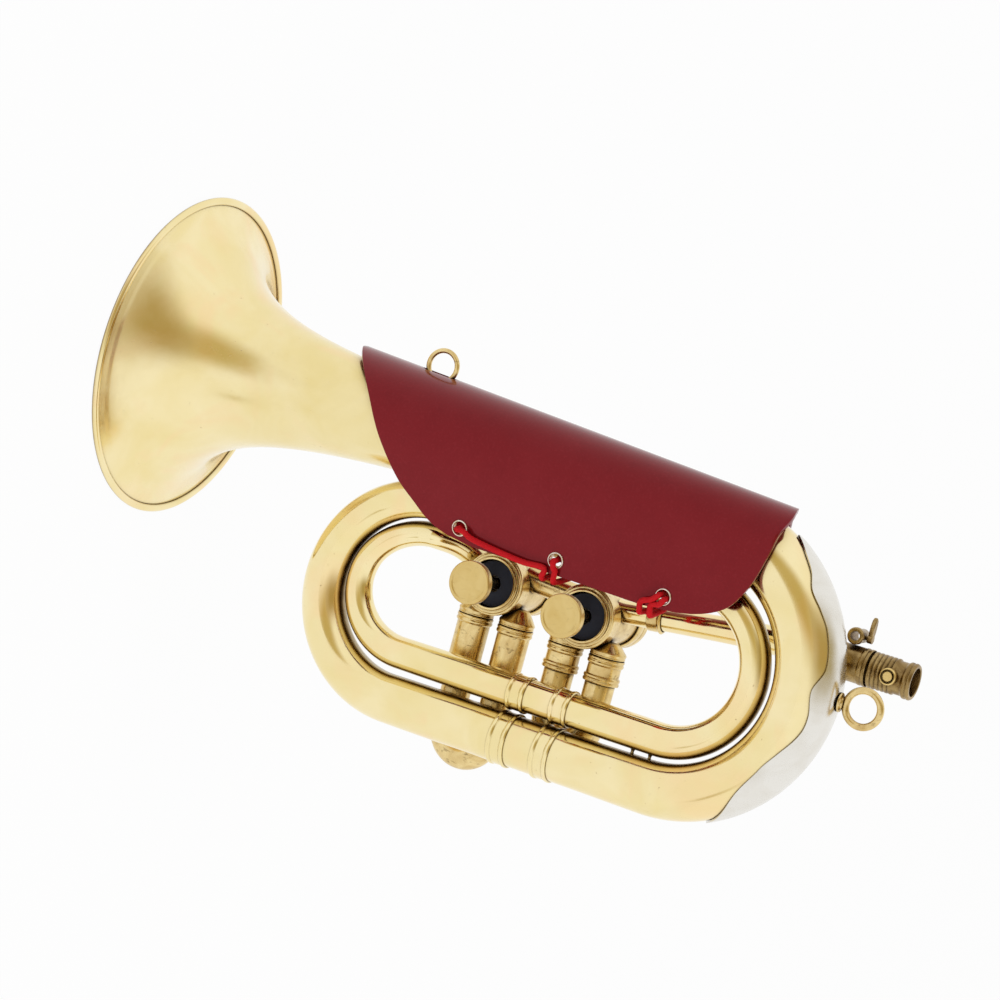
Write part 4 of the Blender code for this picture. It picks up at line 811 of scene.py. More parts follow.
def make_outer_loop():
    points = [Vector((OUTER_FERRULE_X[1], OUTER_LOWER_Y, 0)), Vector((52, OUTER_LOWER_Y, 0))]
    points += arc((RIGHT_BOW_X, OUTER_BOW_Y), OUTER_BOW_REACH, -90, 90, 72)
    tail = BELL_TUBE_LENGTH - BELL_LENGTH
    points += [bell_axis_point(BELL_TUBE_LENGTH - tail * share) for share in shares(8)[1:]]
    total = runs(points)[-1]
    low = (RIGHT_BOW_X - OUTER_FERRULE_X[1]) / total
    turn = math.pi * OUTER_BOW_REACH / total
    tube("outer_right_bow", points, (
        (0, OUTER_LOWER_RADIUS), (low, RIGHT_BOW_FOOT_RADIUS), (low + turn / 2, RIGHT_BOW_RADIUS),
        (low + turn, BELL_TUBE_RADIUS_RIGHT), (1, bell_tube_radius(BELL_LENGTH))), 72)

    middle = (SECOND_TUBE_Y + OUTER_LOWER_Y) / 2
    points = [Vector((LEFT_BOW_X + BOW_END, SECOND_TUBE_Y, 0))]
    points += arc((LEFT_BOW_X, middle), SECOND_TUBE_Y - middle, 90, 270, 64)
    points += [Vector((x, OUTER_LOWER_Y, 0)) for x in (-20, -5, 8, OUTER_FERRULE_X[0])]
    tube("outer_left_bow", points, (
        (0, SECOND_TUBE_RADIUS_LEFT), (0.35, LEFT_BOW_RADIUS), (0.72, OUTER_LOWER_RADIUS - 0.2),
        (1, OUTER_LOWER_RADIUS)))


def make_inner_loop():
    left, right = LEFT_BOW_X + BOW_END, RIGHT_BOW_X - BOW_END
    points = [Vector((left + (right - left) * share, SECOND_TUBE_Y, 0)) for share in shares(12)]
    tube("second_top_tube", points, ((0, SECOND_TUBE_RADIUS_LEFT), (1, SECOND_TUBE_RADIUS_RIGHT)), 48)

    middle = (SECOND_TUBE_Y + INNER_LOWER_Y) / 2
    points = [Vector((INNER_FERRULE_X[1], INNER_LOWER_Y, 0)), Vector((54, INNER_LOWER_Y, 0))]
    points += arc((RIGHT_BOW_X, middle), SECOND_TUBE_Y - middle, -90, 90, 60)
    points.append(Vector((right, SECOND_TUBE_Y, 0)))
    tube("inner_right_bow", points, (
        (0, INNER_LOWER_RADIUS), (0.28, INNER_LOWER_RADIUS), (0.5, INNER_RIGHT_BOW_RADIUS),
        (0.8, INNER_RIGHT_BOW_RADIUS), (1, SECOND_TUBE_RADIUS_RIGHT)))

    port = port_point(0, -1)
    middle = (THIRD_TUBE_Y + INNER_LOWER_Y) / 2
    path = [Vector((x, INNER_LOWER_Y, 0)) for x in (INNER_FERRULE_X[0], 8, -4, -16)]
    for share in shares(48):
        angle = math.radians(-90 - 180 * share)
        depth = 0.22 * port.z * smooth_step((share - 0.6) / 0.4)
        path.append(Vector((LEFT_BOW_X + INNER_LEFT_BOW_REACH * math.cos(angle),
                            middle + (THIRD_TUBE_Y - middle) * math.sin(angle), depth)))
    knee = (LEFT_BOW_X + 7, THIRD_TUBE_Y - 1.2, 0.55 * port.z)
    path += smooth_path([path[-1], knee, port + Vector((-3.5, 0.9, 2.0)), port], 10)[1:]
    tube("inner_left_bow", path, (
        (0, INNER_LOWER_RADIUS), (0.4, INNER_LOWER_RADIUS_LEFT), (0.6, INNER_LEFT_BOW_RADIUS),
        (0.93, PORT_PIPE_RADIUS), (0.975, PORT_PIPE_RADIUS), (1, PORT_PIPE_RADIUS + 0.5)), 48)


def port_point(valve, side):
    reach = math.sqrt(CASING_RADIUS**2 - PORT_Y_OFFSET**2) - 1.5
    return Vector((VALVE_X[valve] + side * reach, VALVE_Y[valve] + PORT_Y_OFFSET, PORT_Z))


def make_pipes():
    start = port_point(1, 1)
    route = [start, start + Vector((14, 1.6, -0.6)), (86, -37.9, LEADPIPE_Z),
             (104, RECEIVER_Y - 0.4, LEADPIPE_Z), (LEADPIPE_END_X, RECEIVER_Y, LEADPIPE_Z)]
    tube("leadpipe", smooth_path(route, 12), (
        (0, LEADPIPE_RADIUS_VALVE + 0.5), (0.02, LEADPIPE_RADIUS_VALVE), (1, LEADPIPE_RADIUS_END)), 48)
    before, seat, after = smooth_path(route, 2)[1:4]
    collar = offset(LEADPIPE_RADIUS_VALVE + GAP, 0, (0.5, 2.6), (1.15, 2.0), (0.55, 1.2), (0.5, -2.6),
                    (0, -2.6), (0, 2.6))
    turned("leadpipe_ferrule", collar, seat, after - before, 64)

    left, right = port_point(0, 1), port_point(1, -1)
    flared = PORT_PIPE_RADIUS + 0.6
    tube("valve_knuckle", [left.lerp(right, share) for share in shares(24)], (
        (0, flared), (0.14, PORT_PIPE_RADIUS), (0.86, PORT_PIPE_RADIUS), (1, flared)), 40, "aged_brass")


# Valves and slides
def make_valve(valve):
    prefix = f"valve_{valve + 1}_"
    rider = f"piston_{valve + 1}"
    centre = Vector((VALVE_X[valve], VALVE_Y[valve], 0))
    casing_top = WEB_FOOT_Z - GAP
    inner = CASING_RADIUS - CASING_WALL
    turned(prefix + "casing", [(CASING_RADIUS, casing_top), (CASING_RADIUS, CASING_BOTTOM_Z),
                               (inner, CASING_BOTTOM_Z), (inner, casing_top)], centre)

    skirt = CASING_RADIUS + GAP / 3
    cap = offset(CAP_RECESS_RADIUS, CAP_TOP_Z, (0.15, 0), (0.9, 0), (1.05, -0.81), (1.3, -0.945))
    cap += offset(CAP_RADIUS, CAP_TOP_Z, (-0.95, -0.9), (-0.75, -1.53), (-0.2, -1.62), (0, -1.98), (0, -3.06),
                  (-0.6, -3.78), (-0.4, -CAP_HEIGHT))
    cap += [(skirt, CAP_TOP_Z - CAP_HEIGHT), (skirt, WEB_FOOT_Z), (STEM_HOLE_RADIUS, WEB_FOOT_Z),
            (STEM_HOLE_RADIUS, WEB_TOP_Z), (CAP_RECESS_RADIUS, WEB_TOP_Z)]
    turned(prefix + "top_cap", cap, centre)

    floor = CASING_BOTTOM_Z - GAP
    bottom = floor - BOTTOM_CAP_FLOOR
    lip, waist = BOTTOM_CAP_HEIGHT, BOTTOM_CAP_HEIGHT / 2
    foot = offset(BOTTOM_CAP_RADIUS, bottom, (-0.5, lip), (0, lip - 0.9), (0, waist + 0.4), (-0.4, waist),
                  (0, waist - 0.4), (0, 0.9), (-0.9, 0))
    foot += [(VENT_RADIUS, bottom), (VENT_RADIUS, floor), (skirt, floor), (skirt, bottom + lip)]
    turned(prefix + "bottom_cap", foot, centre)

    seat = PISTON_TOP_Z - STEM_SEAT
    underside = BUTTON_TOP_Z - BUTTON_HEIGHT
    pin_top = underside + PIN_LENGTH
    stem = [(0, pin_top), (PIN_RADIUS, pin_top), (PIN_RADIUS, underside), (STEM_RADIUS, underside - GAP),
            (STEM_RADIUS, seat), (0, seat)]
    turned(prefix + "stem", stem, centre, steps=48, body=rider, closed=False)
    button = [(0, BUTTON_TOP_Z - 0.25)]
    button += offset(BUTTON_RADIUS, BUTTON_TOP_Z, (-1.54, -0.25), (-1.12, 0), (-0.42, 0), (0, -0.42))
    button += offset(BUTTON_RADIUS, underside, (0, 1.26), (-0.7, 0.42))
    hub_foot = underside + GAP / 3
    button += [(BUTTON_HUB_RADIUS, hub_foot), (PIN_RADIUS + GAP, hub_foot), (PIN_RADIUS + GAP, pin_top + GAP),
               (0, pin_top + GAP)]
    turned(prefix + "button", button, centre, slot="brass", body=rider, look="button_brass", closed=False,
           round_size=0.35)

    foot_z = WEB_TOP_Z + GAP / 2
    pad_top = foot_z + FELT_THICKNESS
    pad = [(CAP_RECESS_RADIUS - GAP, pad_top), (CAP_RECESS_RADIUS - GAP / 2, foot_z),
           (STEM_HOLE_RADIUS + GAP, foot_z), (STEM_HOLE_RADIUS + GAP, pad_top)]
    turned(prefix + "felt", pad, centre, slot="felt", round_size=0.5)

    give_material(prefix + "piston", "nickel_silver")
    make_spring(valve, centre, floor + SPRING_WIRE_RADIUS + GAP,
                PISTON_TOP_Z - PISTON_LENGTH - SPRING_WIRE_RADIUS - GAP)


def make_spring(valve, centre, foot, head):
    """A conical coil between the bottom cap's floor and the piston."""
    points = []
    for share in shares(40 * SPRING_TURNS):
        angle = 2 * math.pi * SPRING_TURNS * share
        radius = SPRING_RADIUS_BOTTOM + (SPRING_RADIUS_TOP - SPRING_RADIUS_BOTTOM) * share
        points.append(centre + Vector((radius * math.cos(angle), radius * math.sin(angle),
                                       foot + (head - foot) * share)))
    mesh = sweep(points, [SPRING_WIRE_RADIUS] * len(points), 12)
    spring = fine(f"valve_{valve + 1}_spring", mesh, "spring_steel")
    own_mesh(spring)


def make_slide(valve):
    prefix = f"valve_{valve + 1}_"
    end = LEG_END_Y[valve]
    for side, letter in ((-1, "a"), (1, "b")):
        place = (VALVE_X[valve] + side * LEG_OFFSET, 0, LEG_Z)
        top = VALVE_Y[valve] - ELBOW_DROP
        knee = [(0, top), (ELBOW_TOP_RADIUS, top)]
        knee += offset(LEG_RADIUS, LEG_TOP_Y, (0.45, 2.3), (0.6, 1.9), (0.3, 1.0), (0.5, 0.5), (0, 0),
                       (-1.0, 0))
        knee += [(ELBOW_TOP_RADIUS - 0.8, top - LEG_WALL), (0, top - LEG_WALL)]
        turned(f"{prefix}slide_elbow_{letter}", knee, place, Y, 64, closed=False, round_size=0.5)
        leg = offset(COLLAR_RADIUS, LEG_TOP_Y, *((out, -down) for out, down in COLLAR))
        leg += [(LEG_RADIUS, LEG_TOP_Y - COLLAR_SHOULDER), (LEG_RADIUS, end + COLLAR_SHOULDER)]
        leg += offset(COLLAR_RADIUS, end, *reversed(COLLAR))
        leg += [(LEG_RADIUS - LEG_WALL, end), (LEG_RADIUS - LEG_WALL, LEG_TOP_Y)]
        turned(f"{prefix}slide_leg_{letter}", leg, place, Y, 64)

    x, seat = VALVE_X[valve], end - GAP
    steps = ((end + SLIDE_INSERT[valve], SLIDE_RADIUS), (seat + 0.05, SLIDE_RADIUS),
             (seat - 0.05, SLIDE_BOW_RADIUS - 0.1), (seat - 0.3, SLIDE_BOW_RADIUS))
    left = [Vector((x - LEG_OFFSET, y, LEG_Z)) for y, _ in steps]
    right = [Vector((x + LEG_OFFSET, y, LEG_Z)) for y, _ in reversed(steps)]
    bow = arc((x, SLIDE_BOW_Y[valve]), LEG_OFFSET, 180, 360, 40, LEG_Z)
    sizes = [radius for _, radius in steps]
    radii = sizes + [SLIDE_BOW_RADIUS] * len(bow) + sizes[::-1]
    mesh = sweep(left + bow + right, radii, 48, WALL)
    fine(prefix + "slide_bow", mesh, "aged_brass", f"slide_bow_{valve + 1}")


# Receiver, shank, lyre holder and stay
def make_receiver():
    place = Vector((0, RECEIVER_Y, LEADPIPE_Z))
    start = LEADPIPE_END_X - GAP
    bore, narrow = SHANK_PLUG_RADIUS + GAP, LEADPIPE_RADIUS_END - WALL
    tip = SOCKET_END_X - SHANK_INSERT
    socket = offset(SOCKET_RADIUS, SOCKET_END_X, (0.2, 0), (0.2, -1.0), (-0.1, -1.4), (0.2, -1.8),
                    (0.2, -2.6), (0, -3.0))
    socket += [(SOCKET_RADIUS, start + 1.7), (LEADPIPE_RADIUS_END + 0.1, start), (narrow, start),
               (narrow, tip - 1.0), (bore, tip - 1.0), (bore, SOCKET_END_X)]
    turned("receiver_socket", socket, place, X, 80, look="dark_brass")

    pitch = SHANK_RING_PITCH
    head = SOCKET_END_X + GAP
    first = head + SHANK_RINGS * pitch
    shank = offset(SHANK_RIM_RADIUS, SHANK_END_X, (-0.4, 0), (0, -0.6), (0, -1.1), (-0.3, -1.5), (0, -1.9),
                   (0, -2.6))
    shank += [(SHANK_RADIUS, SHANK_END_X - 3.4), (SHANK_RADIUS, first + 0.3)]
    for k in range(SHANK_RINGS):
        x = first - k * pitch
        shank += offset(SHANK_RIM_RADIUS - 0.1, x, (0, -0.15 * pitch), (0, -0.6 * pitch))
        shank.append((SHANK_RADIUS, x - 0.8 * pitch))
    shank[-1] = (SHANK_RADIUS, head)
    shank += [(SHANK_PLUG_RADIUS, tip), (SHANK_BORE_RADIUS - 0.5, tip), (SHANK_BORE_RADIUS, SHANK_END_X)]
    turned("tuning_shank", shank, place, X, 80, body="shank", look="dark_brass")

    foot, top = SHANK_RADIUS - 0.3, SHANK_RIM_RADIUS + GAP - 0.1
    stud = [(0, top + 1.3)]
    stud += offset(STUD_RADIUS, top, (-1.3, 1.5), (-1.0, 0.8), (-0.7, 0.9), (-0.5, 1.6), (0, 1.2))
    stud += [(STUD_RADIUS, foot), (0, foot)]
    turned("shank_stud", stud, place + X * STUD_X, steps=48, slot="brass", body="shank", look="button_brass",
           closed=False)

    lyre_place = Vector((LYRE_X, LYRE_Y, LEADPIPE_Z))
    half = LYRE_HEIGHT / 2
    lyre = offset(LYRE_RADIUS, half, (-0.4, 0), (0, -0.5), (0, -2.2), (-0.5, -2.6), (-0.5, -LYRE_HEIGHT))
    lyre += [(LYRE_HOLE_RADIUS, -half), (LYRE_HOLE_RADIUS, half)]
    turned("lyre_holder", lyre, lyre_place, steps=56, look="dark_brass")
    make_lyre_screw(lyre_place)

    low = LEADPIPE_Z + LEADPIPE_RADIUS_END - 0.2
    high = -RIGHT_BOW_RADIUS + 0.6
    post = [(STAY_WAIST + (STAY_FLANGE - STAY_WAIST) * abs(2 * share - 1) ** 2.5, high + (low - high) * share)
            for share in shares(14)]
    turned("receiver_stay", [(0, high)] + post + [(0, low)], (STAY_X, RECEIVER_Y, 0), steps=40, closed=False)


def make_lyre_screw(place):
    """Thumb screw: a turned shaft with a flat wing, both with rounded edges."""
    collar = LYRE_RADIUS + GAP
    boss, boss_end = 1.5, collar + 1.8
    shaft, start = 0.7, LYRE_HOLE_RADIUS + 0.1
    outline = [(0, boss_end), (boss, boss_end), (boss, collar), (shaft, collar), (shaft, start), (0, start)]
    screw = lathe(outline, place, X, 40, closed=False)
    thickness = 1.5
    back = boss_end - 0.1 - thickness
    half = [(0.9, 0.0), (1.5, 2.5), (1.35, 5.0), (0.9, 6.8), (0.0, 7.4)]
    edge = [Vector(corner) for corner in half + [(-x, y) for x, y in reversed(half[:-1])]]
    loops = []
    for inset, depth in ((0.3, 0.0), (0.08, 0.09), (0.0, 0.3), (0.0, 0.7), (0.08, 0.91), (0.3, 1.0)):
        drawn = [corner * (1 - 0.12 * inset) - corner.normalized() * 0.5 * inset for corner in edge]
        loops.append([place + Vector((back + thickness * depth, corner.y, corner.x)) for corner in drawn])
    wing = finished(loft(loops), 60)
    fine("lyre_screw", joined((screw, wing), 45), "aged_brass", "thumb_screw", "dark_brass")


# Bow guard and rings
def bow_frame(angle):
    """The right bow's tube at an angle round the bow: its centre, the way out from there and its radius."""
    out = Vector((math.cos(angle), math.sin(angle), 0))
    centre = Vector((RIGHT_BOW_X, OUTER_BOW_Y, 0)) + out * OUTER_BOW_REACH
    share = math.degrees(angle) / 90
    far = RIGHT_BOW_FOOT_RADIUS if share < 0 else BELL_TUBE_RADIUS_RIGHT
    return centre, out, RIGHT_BOW_RADIUS + (far - RIGHT_BOW_RADIUS) * abs(share)


def grid_faces(shape, grid):
    for low, high in zip(grid, grid[1:]):
        for j in range(len(low) - 1):
            shape.faces.new((low[j], low[j + 1], high[j + 1], high[j]))


def make_guard():
    """The wavy nickel sheet on the bow, a closed shape from an outer and an inner grid, and its ring."""
    columns, rows = 120, 28
    start, end = GUARD_EDGE[0][0], GUARD_EDGE[-1][0]
    shape = bmesh.new()
    edges = []
    for rise in (GAP / 2 + GUARD_THICKNESS, GAP / 2):
        grid = []
        for share in shares(columns):
            degrees = start + (end - start) * share
            centre, out, size = bow_frame(math.radians(degrees))
            half = math.radians(blend_points(GUARD_EDGE, degrees))
            turns = [half * math.sin((2 * j - 1) * math.pi / 2) for j in shares(rows)]
            grid.append([shape.verts.new(centre + (out * math.cos(turn) + Z * math.sin(turn)) * (size + rise))
                         for turn in turns])
        grid_faces(shape, grid)
        edges.append(grid[0] + [line[-1] for line in grid[1:]] + grid[-1][-2::-1]
                     + [line[0] for line in grid[-2:0:-1]])
    bridge(shape, *edges)
    fine("bow_guard", finished(shape), "nickel_silver")

    centre, out, size = bow_frame(RING_ANGLE)
    surface = centre + out * (size + GAP + GUARD_THICKNESS)
    lug = [(0, 1.6), (1.9, 1.5), (2.3, 0.9), (3.2, 0.55), (3.4, 0), (0, 0)]
    ring_with_foot("guard_ring", surface, out, 0.9, RING_RADIUS, RING_WIRE_RADIUS, lug, "brass")


def ring_with_foot(node, place, axis, rise, radius, wire, foot, slot):
    """A ring of wire in the plane of the loops, soldered to a turned foot."""
    centre = place + axis * (rise + wire + radius)
    points = [centre + (X * math.cos(spin) + Y * math.sin(spin)) * radius for spin in circle(72)]
    ring = sweep(points, [wire] * len(points), 28, cyclic=True)
    base = lathe(foot, place, axis, 40, closed=False, round_size=0.3)
    fine(node, joined((ring, base), 50), slot, look="aged_brass")


def make_top_ring():
    s = TOP_RING_X - RIM_X
    place = bell_axis_point(s) + Y * (bell_tube_radius(s) - 0.1)
    foot = [(0, 1.9), (1.4, 1.9), (1.7, 1.1), (2.8, 0.6), (2.9, 0), (0, 0)]
    ring_with_foot("top_ring", place, Y, 1.4, TOP_RING_RADIUS, TOP_RING_WIRE_RADIUS, foot, "aged_brass")


# Leather guard
def leather_section(x, side):
    """The fold at x: its radius, its centre's height, the quarter turn and the flap's drop below that."""

    def between(pair):
        return pair[0] + (pair[1] - pair[0]) * (x - LEATHER_X[0]) / (LEATHER_X[1] - LEATHER_X[0])

    radius = between(LEATHER_RADIUS)
    centre = between(LEATHER_TOP_Y) - radius
    return radius, centre, math.pi / 2 * radius, centre - between(FLAP_Y[side])


def leather_point(x, depth, side):
    """Middle of the leather: depth is 0 on the top line and 1 on a flap's lower edge."""
    radius, centre, quarter, drop = leather_section(x, side)
    run = depth * (quarter + drop)
    if run <= quarter:
        angle = run / radius
        return Vector((x, centre + radius * math.cos(angle), side * radius * math.sin(angle)))
    fall = run - quarter
    pull = smooth_step(fall / drop * 0.9)
    return Vector((x, centre - fall, side * (radius + (LEATHER_EDGE_Z - radius) * pull)))


def depth_above_edge(x, rise, side):
    _, _, quarter, drop = leather_section(x, side)
    return 1 - rise / (quarter + drop)


def leather_hole(x, side):
    """Centre of an eyelet's hole and the leather's outward direction there."""
    depth = depth_above_edge(x, EYELET_UP, side)
    slope = leather_point(x, depth + 0.01, side) - leather_point(x, depth - 0.01, side)
    normal = Vector((0, -slope.z, slope.y)).normalized()
    if normal.z * side < 0:
        normal = -normal
    return leather_point(x, depth, side), normal


def leather_sheet():
    rows, columns = 44, 110
    sheet = bmesh.new()
    grid = []
    for i in range(-rows, rows + 1):
        side = FRONT if i >= 0 else BACK
        depth = abs(i) / rows
        left = blend_points(LEATHER_LEFT, depth)
        right = blend_points(LEATHER_RIGHT if side == FRONT else LEATHER_RIGHT_BACK, depth)
        grid.append([sheet.verts.new(leather_point(left + (right - left) * share, depth, side))
                     for share in shares(columns)])
    grid_faces(sheet, grid)
    bmesh.ops.recalc_face_normals(sheet, faces=sheet.faces)
    top = max(sheet.faces, key=lambda face: face.calc_center_median().y)
    if top.normal.y < 0:
        bmesh.ops.reverse_faces(sheet, faces=sheet.faces)
    return mesh_from(sheet)


def drill(start, end, radius):
    """A cylinder to cut with."""
    shape = bmesh.new()
    length = (end - start).length
    bmesh.ops.create_cone(shape, cap_ends=True, segments=32, radius1=radius, radius2=radius, depth=length)
    turn = Z.rotation_difference(end - start).to_matrix().to_4x4()
    bmesh.ops.transform(shape, matrix=Matrix.Translation((start + end) / 2) @ turn, verts=shape.verts)
    return shape


def ring_slot():
    """A prism with round ends, which cuts the slot that the top ring stands in."""
    s = TOP_RING_X - RIM_X
    low = bell_axis_point(s).y + bell_tube_radius(s)
    half = TOP_RING_RADIUS + TOP_RING_WIRE_RADIUS + SLOT_ROOM - SLOT_CORNER
    outline = []
    for sign in (1, -1):
        for share in shares(12):
            spin = math.radians(-90 + 180 * share)
            across = half + SLOT_CORNER * math.cos(spin)
            outline.append((sign * across, sign * SLOT_CORNER * math.sin(spin)))
    slot = loft([[(TOP_RING_X + x, y, z) for x, z in outline] for y in (low, low + 20)])
    bmesh.ops.recalc_face_normals(slot, faces=slot.faces)
    return slot


def in_metres(name, mesh):
    mesh.transform(Matrix.Scale(MM, 4))
    return add_object(name, mesh)


def modify(obj, kind, **settings):
    added = obj.modifiers.new(kind.lower(), kind)
    for key, value in settings.items():
        setattr(added, key, value)


def make_leather():
    """One hide folded over the bell tube: dyed face, pale cut edge, rough flesh side.

    It is cut in metres, because the bevel's result depends on the unit.
    """
    hide = in_metres("hide", leather_sheet())
    for name in ("leather", "leather_back", "leather_edge"):
        hide.data.materials.append(MATERIALS[name])
    modify(hide, "SOLIDIFY", thickness=LEATHER * MM, offset=0.0, use_even_offset=True, material_offset=1,
           material_offset_rim=2)
    modify(hide, "BEVEL", width=LEATHER_BEVEL * MM, segments=3, limit_method="ANGLE",
           angle_limit=math.radians(50), material=2)
    shapes = []
    for x in EYELET_X:
        for side in (FRONT, BACK):
            here, normal = leather_hole(x, side)
            reach = normal * 2 * LEATHER
            shapes.append(drill(here - reach, here + reach, EYELET_HOLE_RADIUS + EYELET_WALL + GAP / 2))
    shapes.append(ring_slot())
    cutters = [in_metres("cutter", mesh_from(shape)) for shape in shapes]
    for cutter in cutters:
        cutter.data.materials.append(MATERIALS["leather_edge"])
        modify(hide, "BOOLEAN", operation="DIFFERENCE", object=cutter, solver="EXACT",
               material_mode="TRANSFER")
    graph = bpy.context.evaluated_depsgraph_get()
    mesh = bpy.data.meshes.new_from_object(hide.evaluated_get(graph))
    for spare in [hide] + cutters:
        bpy.data.objects.remove(spare, do_unlink=True)
    mesh.transform(Matrix.Scale(1 / MM, 4))
    return piece("leather_guard_fine", smoothed(mesh, 50), "leather", ["leather_guard"],
                 materials=list(mesh.materials))


def declare_leather(guard, eyelets):
    """Builds the hide's sheet and throws it away, and works out its width round the tube, laid flat, at both
    ends; nothing uses it.
    """
    flat = leather_sheet()
    bpy.data.meshes.remove(flat)
    widths = [sum(sum(leather_section(x, side)[2:]) for side in (FRONT, BACK)) * MM for x in LEATHER_X]


def make_eyelets():
    half = LEATHER / 2 + 0.05
    barrel = EYELET_HOLE_RADIUS + EYELET_WALL
    middle = (EYELET_HOLE_RADIUS + EYELET_RADIUS) / 2
    reach = (EYELET_RADIUS - EYELET_HOLE_RADIUS) / 2
    outline = []
    for sign in (1, -1):
        side = [(middle - reach * math.cos(math.pi * share),
                 sign * (half + 1.25 * EYELET_FLANGE * math.sin(math.pi * share))) for share in shares(14)]
        side += [(EYELET_RADIUS, sign * half), (barrel, sign * half)]
        outline += side if sign > 0 else side[::-1]
    eyelets = []
    for number, x in enumerate(EYELET_X):
        for side, where in ((FRONT, "front"), (BACK, "back")):
            here, normal = leather_hole(x, side)
            eyelets.append(turned(f"eyelet_{where}_{number + 1}", outline, here, normal, 48, "eyelet",
                                  round_size=None))
    return eyelets


# Lacing
def lace_route():
    """The lacing: one cord through the eyelets, round the flaps' lower edges and below the second tube."""
    near = LEATHER / 2 + EYELET_FLANGE + GAP
    out = near + LACE_RADIUS + 0.3
    skin = LEATHER / 2 + LACE_RADIUS + 0.35
    over = EYELET_FLANGE + 0.2
    spread = LACE_RADIUS + GAP
    route = []

    def through(x, side, outward, shift=(0.0, 0.0)):
        here, normal = leather_hole(x, side)
        for step in (-out, -near, near, out) if outward else (out, near, -near, -out):
            route.append(here + Vector((*shift, 0)) + normal * step)

    def on_face(x, side, rise, lift=0.0):
        route.append(leather_point(x, depth_above_edge(x, rise, side), side) + Z * side * (skin + lift))

    def round_edge(x, side, from_outside):
        edge = leather_point(x, 1.0, side)
        turn = [edge + Vector((0, 1.2, side * skin)), edge + Vector((0, -0.8 * skin, side * 0.75 * skin)),
                edge + Vector((0, -1.15 * skin, -side * 0.5))]
        route.extend(turn if from_outside else turn[::-1])

    def inside(x, shift, side, rise, z=LACE_INSIDE_Z):
        route.append(Vector((x + shift, leather_hole(x, side)[0].y + rise, side * z)))

    def under(x, rise=0.0):
        route.append(Vector((x, LACE_UNDER_Y + rise, 0)))

    first, second, third = EYELET_X
    left, right, low = LACE_EDGE_X
    inside(first, -4, FRONT, 0.6)
    through(first, FRONT, True)
    on_face(first + 2.4, FRONT, 4.2, over)
    on_face(first + 7, FRONT, 2.4)
    on_face(left - 9, FRONT, 0.8)
    round_edge(left, FRONT, True)
    under(left - 1)
    round_edge(left - 2, BACK, False)
    on_face(left - 12, BACK, 2.4)
    on_face(first + 8, BACK, 2.8)
    on_face(first + 2.4, BACK, 4.2, over)
    through(first, BACK, False)
    inside(first, 6, BACK, -1.8)
    inside(second, -6, BACK, -1.8)
    through(second, BACK, True)
    on_face(second + 0.5, BACK, 2.4, over)
    round_edge(right + 1, BACK, True)
    under(right + 0.5)
    round_edge(right, FRONT, False)
    on_face(second + 0.4, FRONT, 2.4, over)
    through(second, FRONT, False)
    inside(second, 7, FRONT, -1.0)
    inside(third, -7, FRONT, 1.0)
    through(third, FRONT, True, (-0.9 * spread, 0.42 * spread))
    on_face(third - 3.2, FRONT, 3.0, over)
    round_edge(low - 1.6, FRONT, True)
    under(low, -0.5)
    round_edge(low + 3, BACK, False)
    on_face(third - 0.8, BACK, 2.4, over)
    through(third, BACK, False)
    inside(third, -0.5, BACK, -3.8, LACE_INSIDE_Z - 2)
    under(low + 3.2, 0.6)
    round_edge(low + 2.2, FRONT, False)
    on_face(third - 0.2, FRONT, 2.2, over)
    through(third, FRONT, False, (0.9 * spread, -0.42 * spread))
    return route


def make_lacing():
    """Round cord of plaited yarns: ridges cross each other along it, and its ends are drawn in."""
    step = 0.22
    path = evenly(smooth_path(lace_route(), 12), step)

    def swell(i, spin):
        run = 2 * math.pi * i * step / PLAIT
        return 1.0 + 0.075 * max(math.sin(YARNS * spin + run), math.sin(YARNS * spin - run))

    radius = 1.08 * LACE_RADIUS
    radii = [radius] * len(path)
    ending = 6
    for k in range(ending):
        radii[k] = radii[-1 - k] = radius * (0.55 + 0.45 * math.sin(math.pi / 2 * k / ending))
    fine("lacing", sweep(path, radii, 24, swell=swell, angle=80), "cord")


# Small details that the frame leaves out
def make_solder():
    """Two dots of solder that hold the inner loop's lower tube to the outer one's."""
    middle = (OUTER_LOWER_Y + OUTER_LOWER_RADIUS + INNER_LOWER_Y - INNER_LOWER_RADIUS) / 2
    waist, flare, half = 0.55, 0.7, 1.35
    post = [(waist + flare * (2 * share - 1) ** 2, half * (2 * share - 1)) for share in shares(12)]
    outline = [(0, -half)] + post + [(0, half)]
    for number, x in enumerate((64.5, 71.0)):
        mesh = lathe(outline, (x, middle, 0), Y, 24, closed=False, round_size=None)
        piece(f"loop_solder_{number + 1}", mesh, "aged_brass")


# Studio, with its distances and sizes in metres
def placed(place, turn):
    """The frame's matrix for a lamp, card or camera at a place in the instrument's axes."""
    return Matrix.Translation(AXES @ place) @ TURN @ turn.to_4x4()


def facing_object(direction, distance):
    """Matrix of a lamp or card that looks at the object from a direction."""
    back = Vector(direction).normalized()
    right = Y.cross(back).normalized()
    return placed(OBJECT_MIDDLE + back * distance / MM, Matrix((right, back.cross(right), back)).transposed())


def make_world():
    world = bpy.data.worlds.new("studio")
    bpy.context.scene.world = world
    nodes = Nodes(world)
    light = nodes.tree.nodes["Background"]
    light.inputs["Color"].default_value = (1.0, 0.99, 0.975, 1.0)
    light.inputs["Strength"].default_value = 0.52
    shown = nodes.add("Background", {"Color": (1.0, 1.0, 1.0, 1.0), "Strength": 1.0})
    nodes.surface("World Output", nodes.backdrop_share(), light.outputs[0], shown)


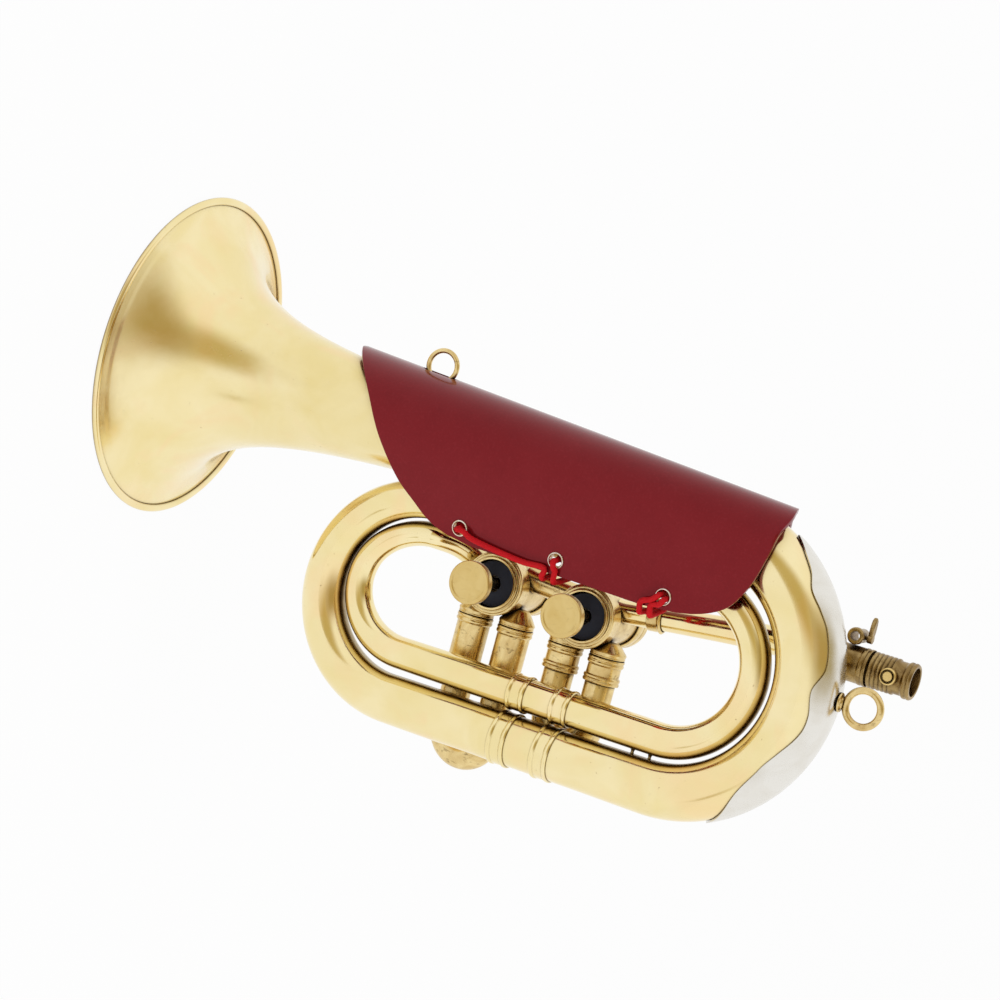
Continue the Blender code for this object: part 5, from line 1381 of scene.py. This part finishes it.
def staged_sheet(name, width, height):
    """A flat stage piece round its own centre, and its material's nodes, with no shader yet."""
    shape = bmesh.new()
    bmesh.ops.create_grid(shape, x_segments=1, y_segments=1, size=0.5)
    bmesh.ops.scale(shape, vec=(width, height, 1), verts=shape.verts)
    sheet = add_object(name, mesh_from(shape))
    material = bpy.data.materials.new(name)
    sheet.data.materials.append(material)
    nodes = Nodes(material)
    nodes.tree.nodes.remove(nodes.tree.nodes["Principled BSDF"])
    return sheet, nodes


def make_floor():
    floor, nodes = staged_sheet("floor", 8.0, 8.0)
    floor.active_material.name = "floor_paper"
    paper = nodes.add("BsdfDiffuse", {"Color": (0.93, 0.93, 0.93, 1.0)})
    glow = nodes.add("Emission", {"Color": (1.0, 1.0, 1.0, 1.0)})
    share = nodes.math("MULTIPLY", nodes.backdrop_share(), 0.955)
    nodes.surface("Material Output", share, paper, glow)


def soft_light(name, direction, distance, width, height, power):
    data = bpy.data.lights.new(name, "AREA")
    data.shape = "RECTANGLE"
    data.size, data.size_y = width, height
    data.energy = power
    lamp = add_object(name, data)
    lamp.matrix_world = facing_object(direction, distance)
    lamp.visible_glossy = False


def grey_card(name, direction, distance, width, height, level, edge):
    """A studio card that only reflections see: toned in the middle and clear towards its edges."""
    card, nodes = staged_sheet(name, width, height)
    card.matrix_world = facing_object(direction, distance)
    for ray in ("camera", "diffuse", "shadow", "transmission"):
        setattr(card, "visible_" + ray, False)
    place = nodes.add("TexCoord", output="Object")
    fades = []
    for axis, size in (("X", width), ("Y", height)):
        off = nodes.math("ABSOLUTE", nodes.add("SeparateXYZ", {0: place}, axis))
        fades.append(nodes.scaled(off, size / 2 * (1 - edge), size / 2, 1.0, 0.0,
                                  interpolation_type="SMOOTHSTEP"))
    clear = nodes.add("BsdfTransparent")
    grey = nodes.add("Emission", {"Color": (*level, 1.0)})
    nodes.surface("Material Output", nodes.math("MULTIPLY", *fades), clear, grey)


def make_studio():
    make_world()
    make_floor()
    soft_light("key_light", (-0.35, 0.85, 0.55), 1.3, 0.8, 0.8, 8.0)
    soft_light("low_light", (0.15, -0.8, 0.5), 1.2, 1.0, 0.6, 4.5)
    soft_light("side_light", (0.95, 0.3, 0.25), 1.4, 0.5, 0.8, 3.0)
    soft_light("back_light", (-0.2, 0.5, -0.9), 1.4, 0.8, 0.8, 4.0)
    grey_card("side_card", (0.88, 0.24, 0.34), 1.5, 3.8, 1.7, (0.45, 0.35, 0.15), 0.85)
    grey_card("front_card", (0.2, 0.38, 0.90), 1.7, 2.6, 1.9, (0.58, 0.47, 0.22), 0.8)
    grey_card("low_card", (-0.3, -0.62, 0.72), 1.6, 1.8, 0.35, (0.55, 0.45, 0.20), 0.8)
    bpy.context.scene.view_settings.view_transform = "Standard"


def make_camera():
    data = bpy.data.cameras.new("camera")
    data.lens = LENS
    data.clip_start, data.clip_end = 0.05, 20.0
    camera = add_object("camera", data)
    camera.matrix_world = placed(CAMERA_PLACE, Matrix((CAMERA_RIGHT, CAMERA_UP, CAMERA_BACK)).transposed())
    bpy.context.scene.camera = camera


make_camera()
make_bell()
make_outer_loop()
make_inner_loop()
make_ferrules()
make_pipes()
for number in (0, 1):
    make_valve(number)
    make_slide(number)
make_receiver()
make_guard()
make_top_ring()
declare_leather(make_leather(), make_eyelets())
make_lacing()
make_solder()
make_studio()
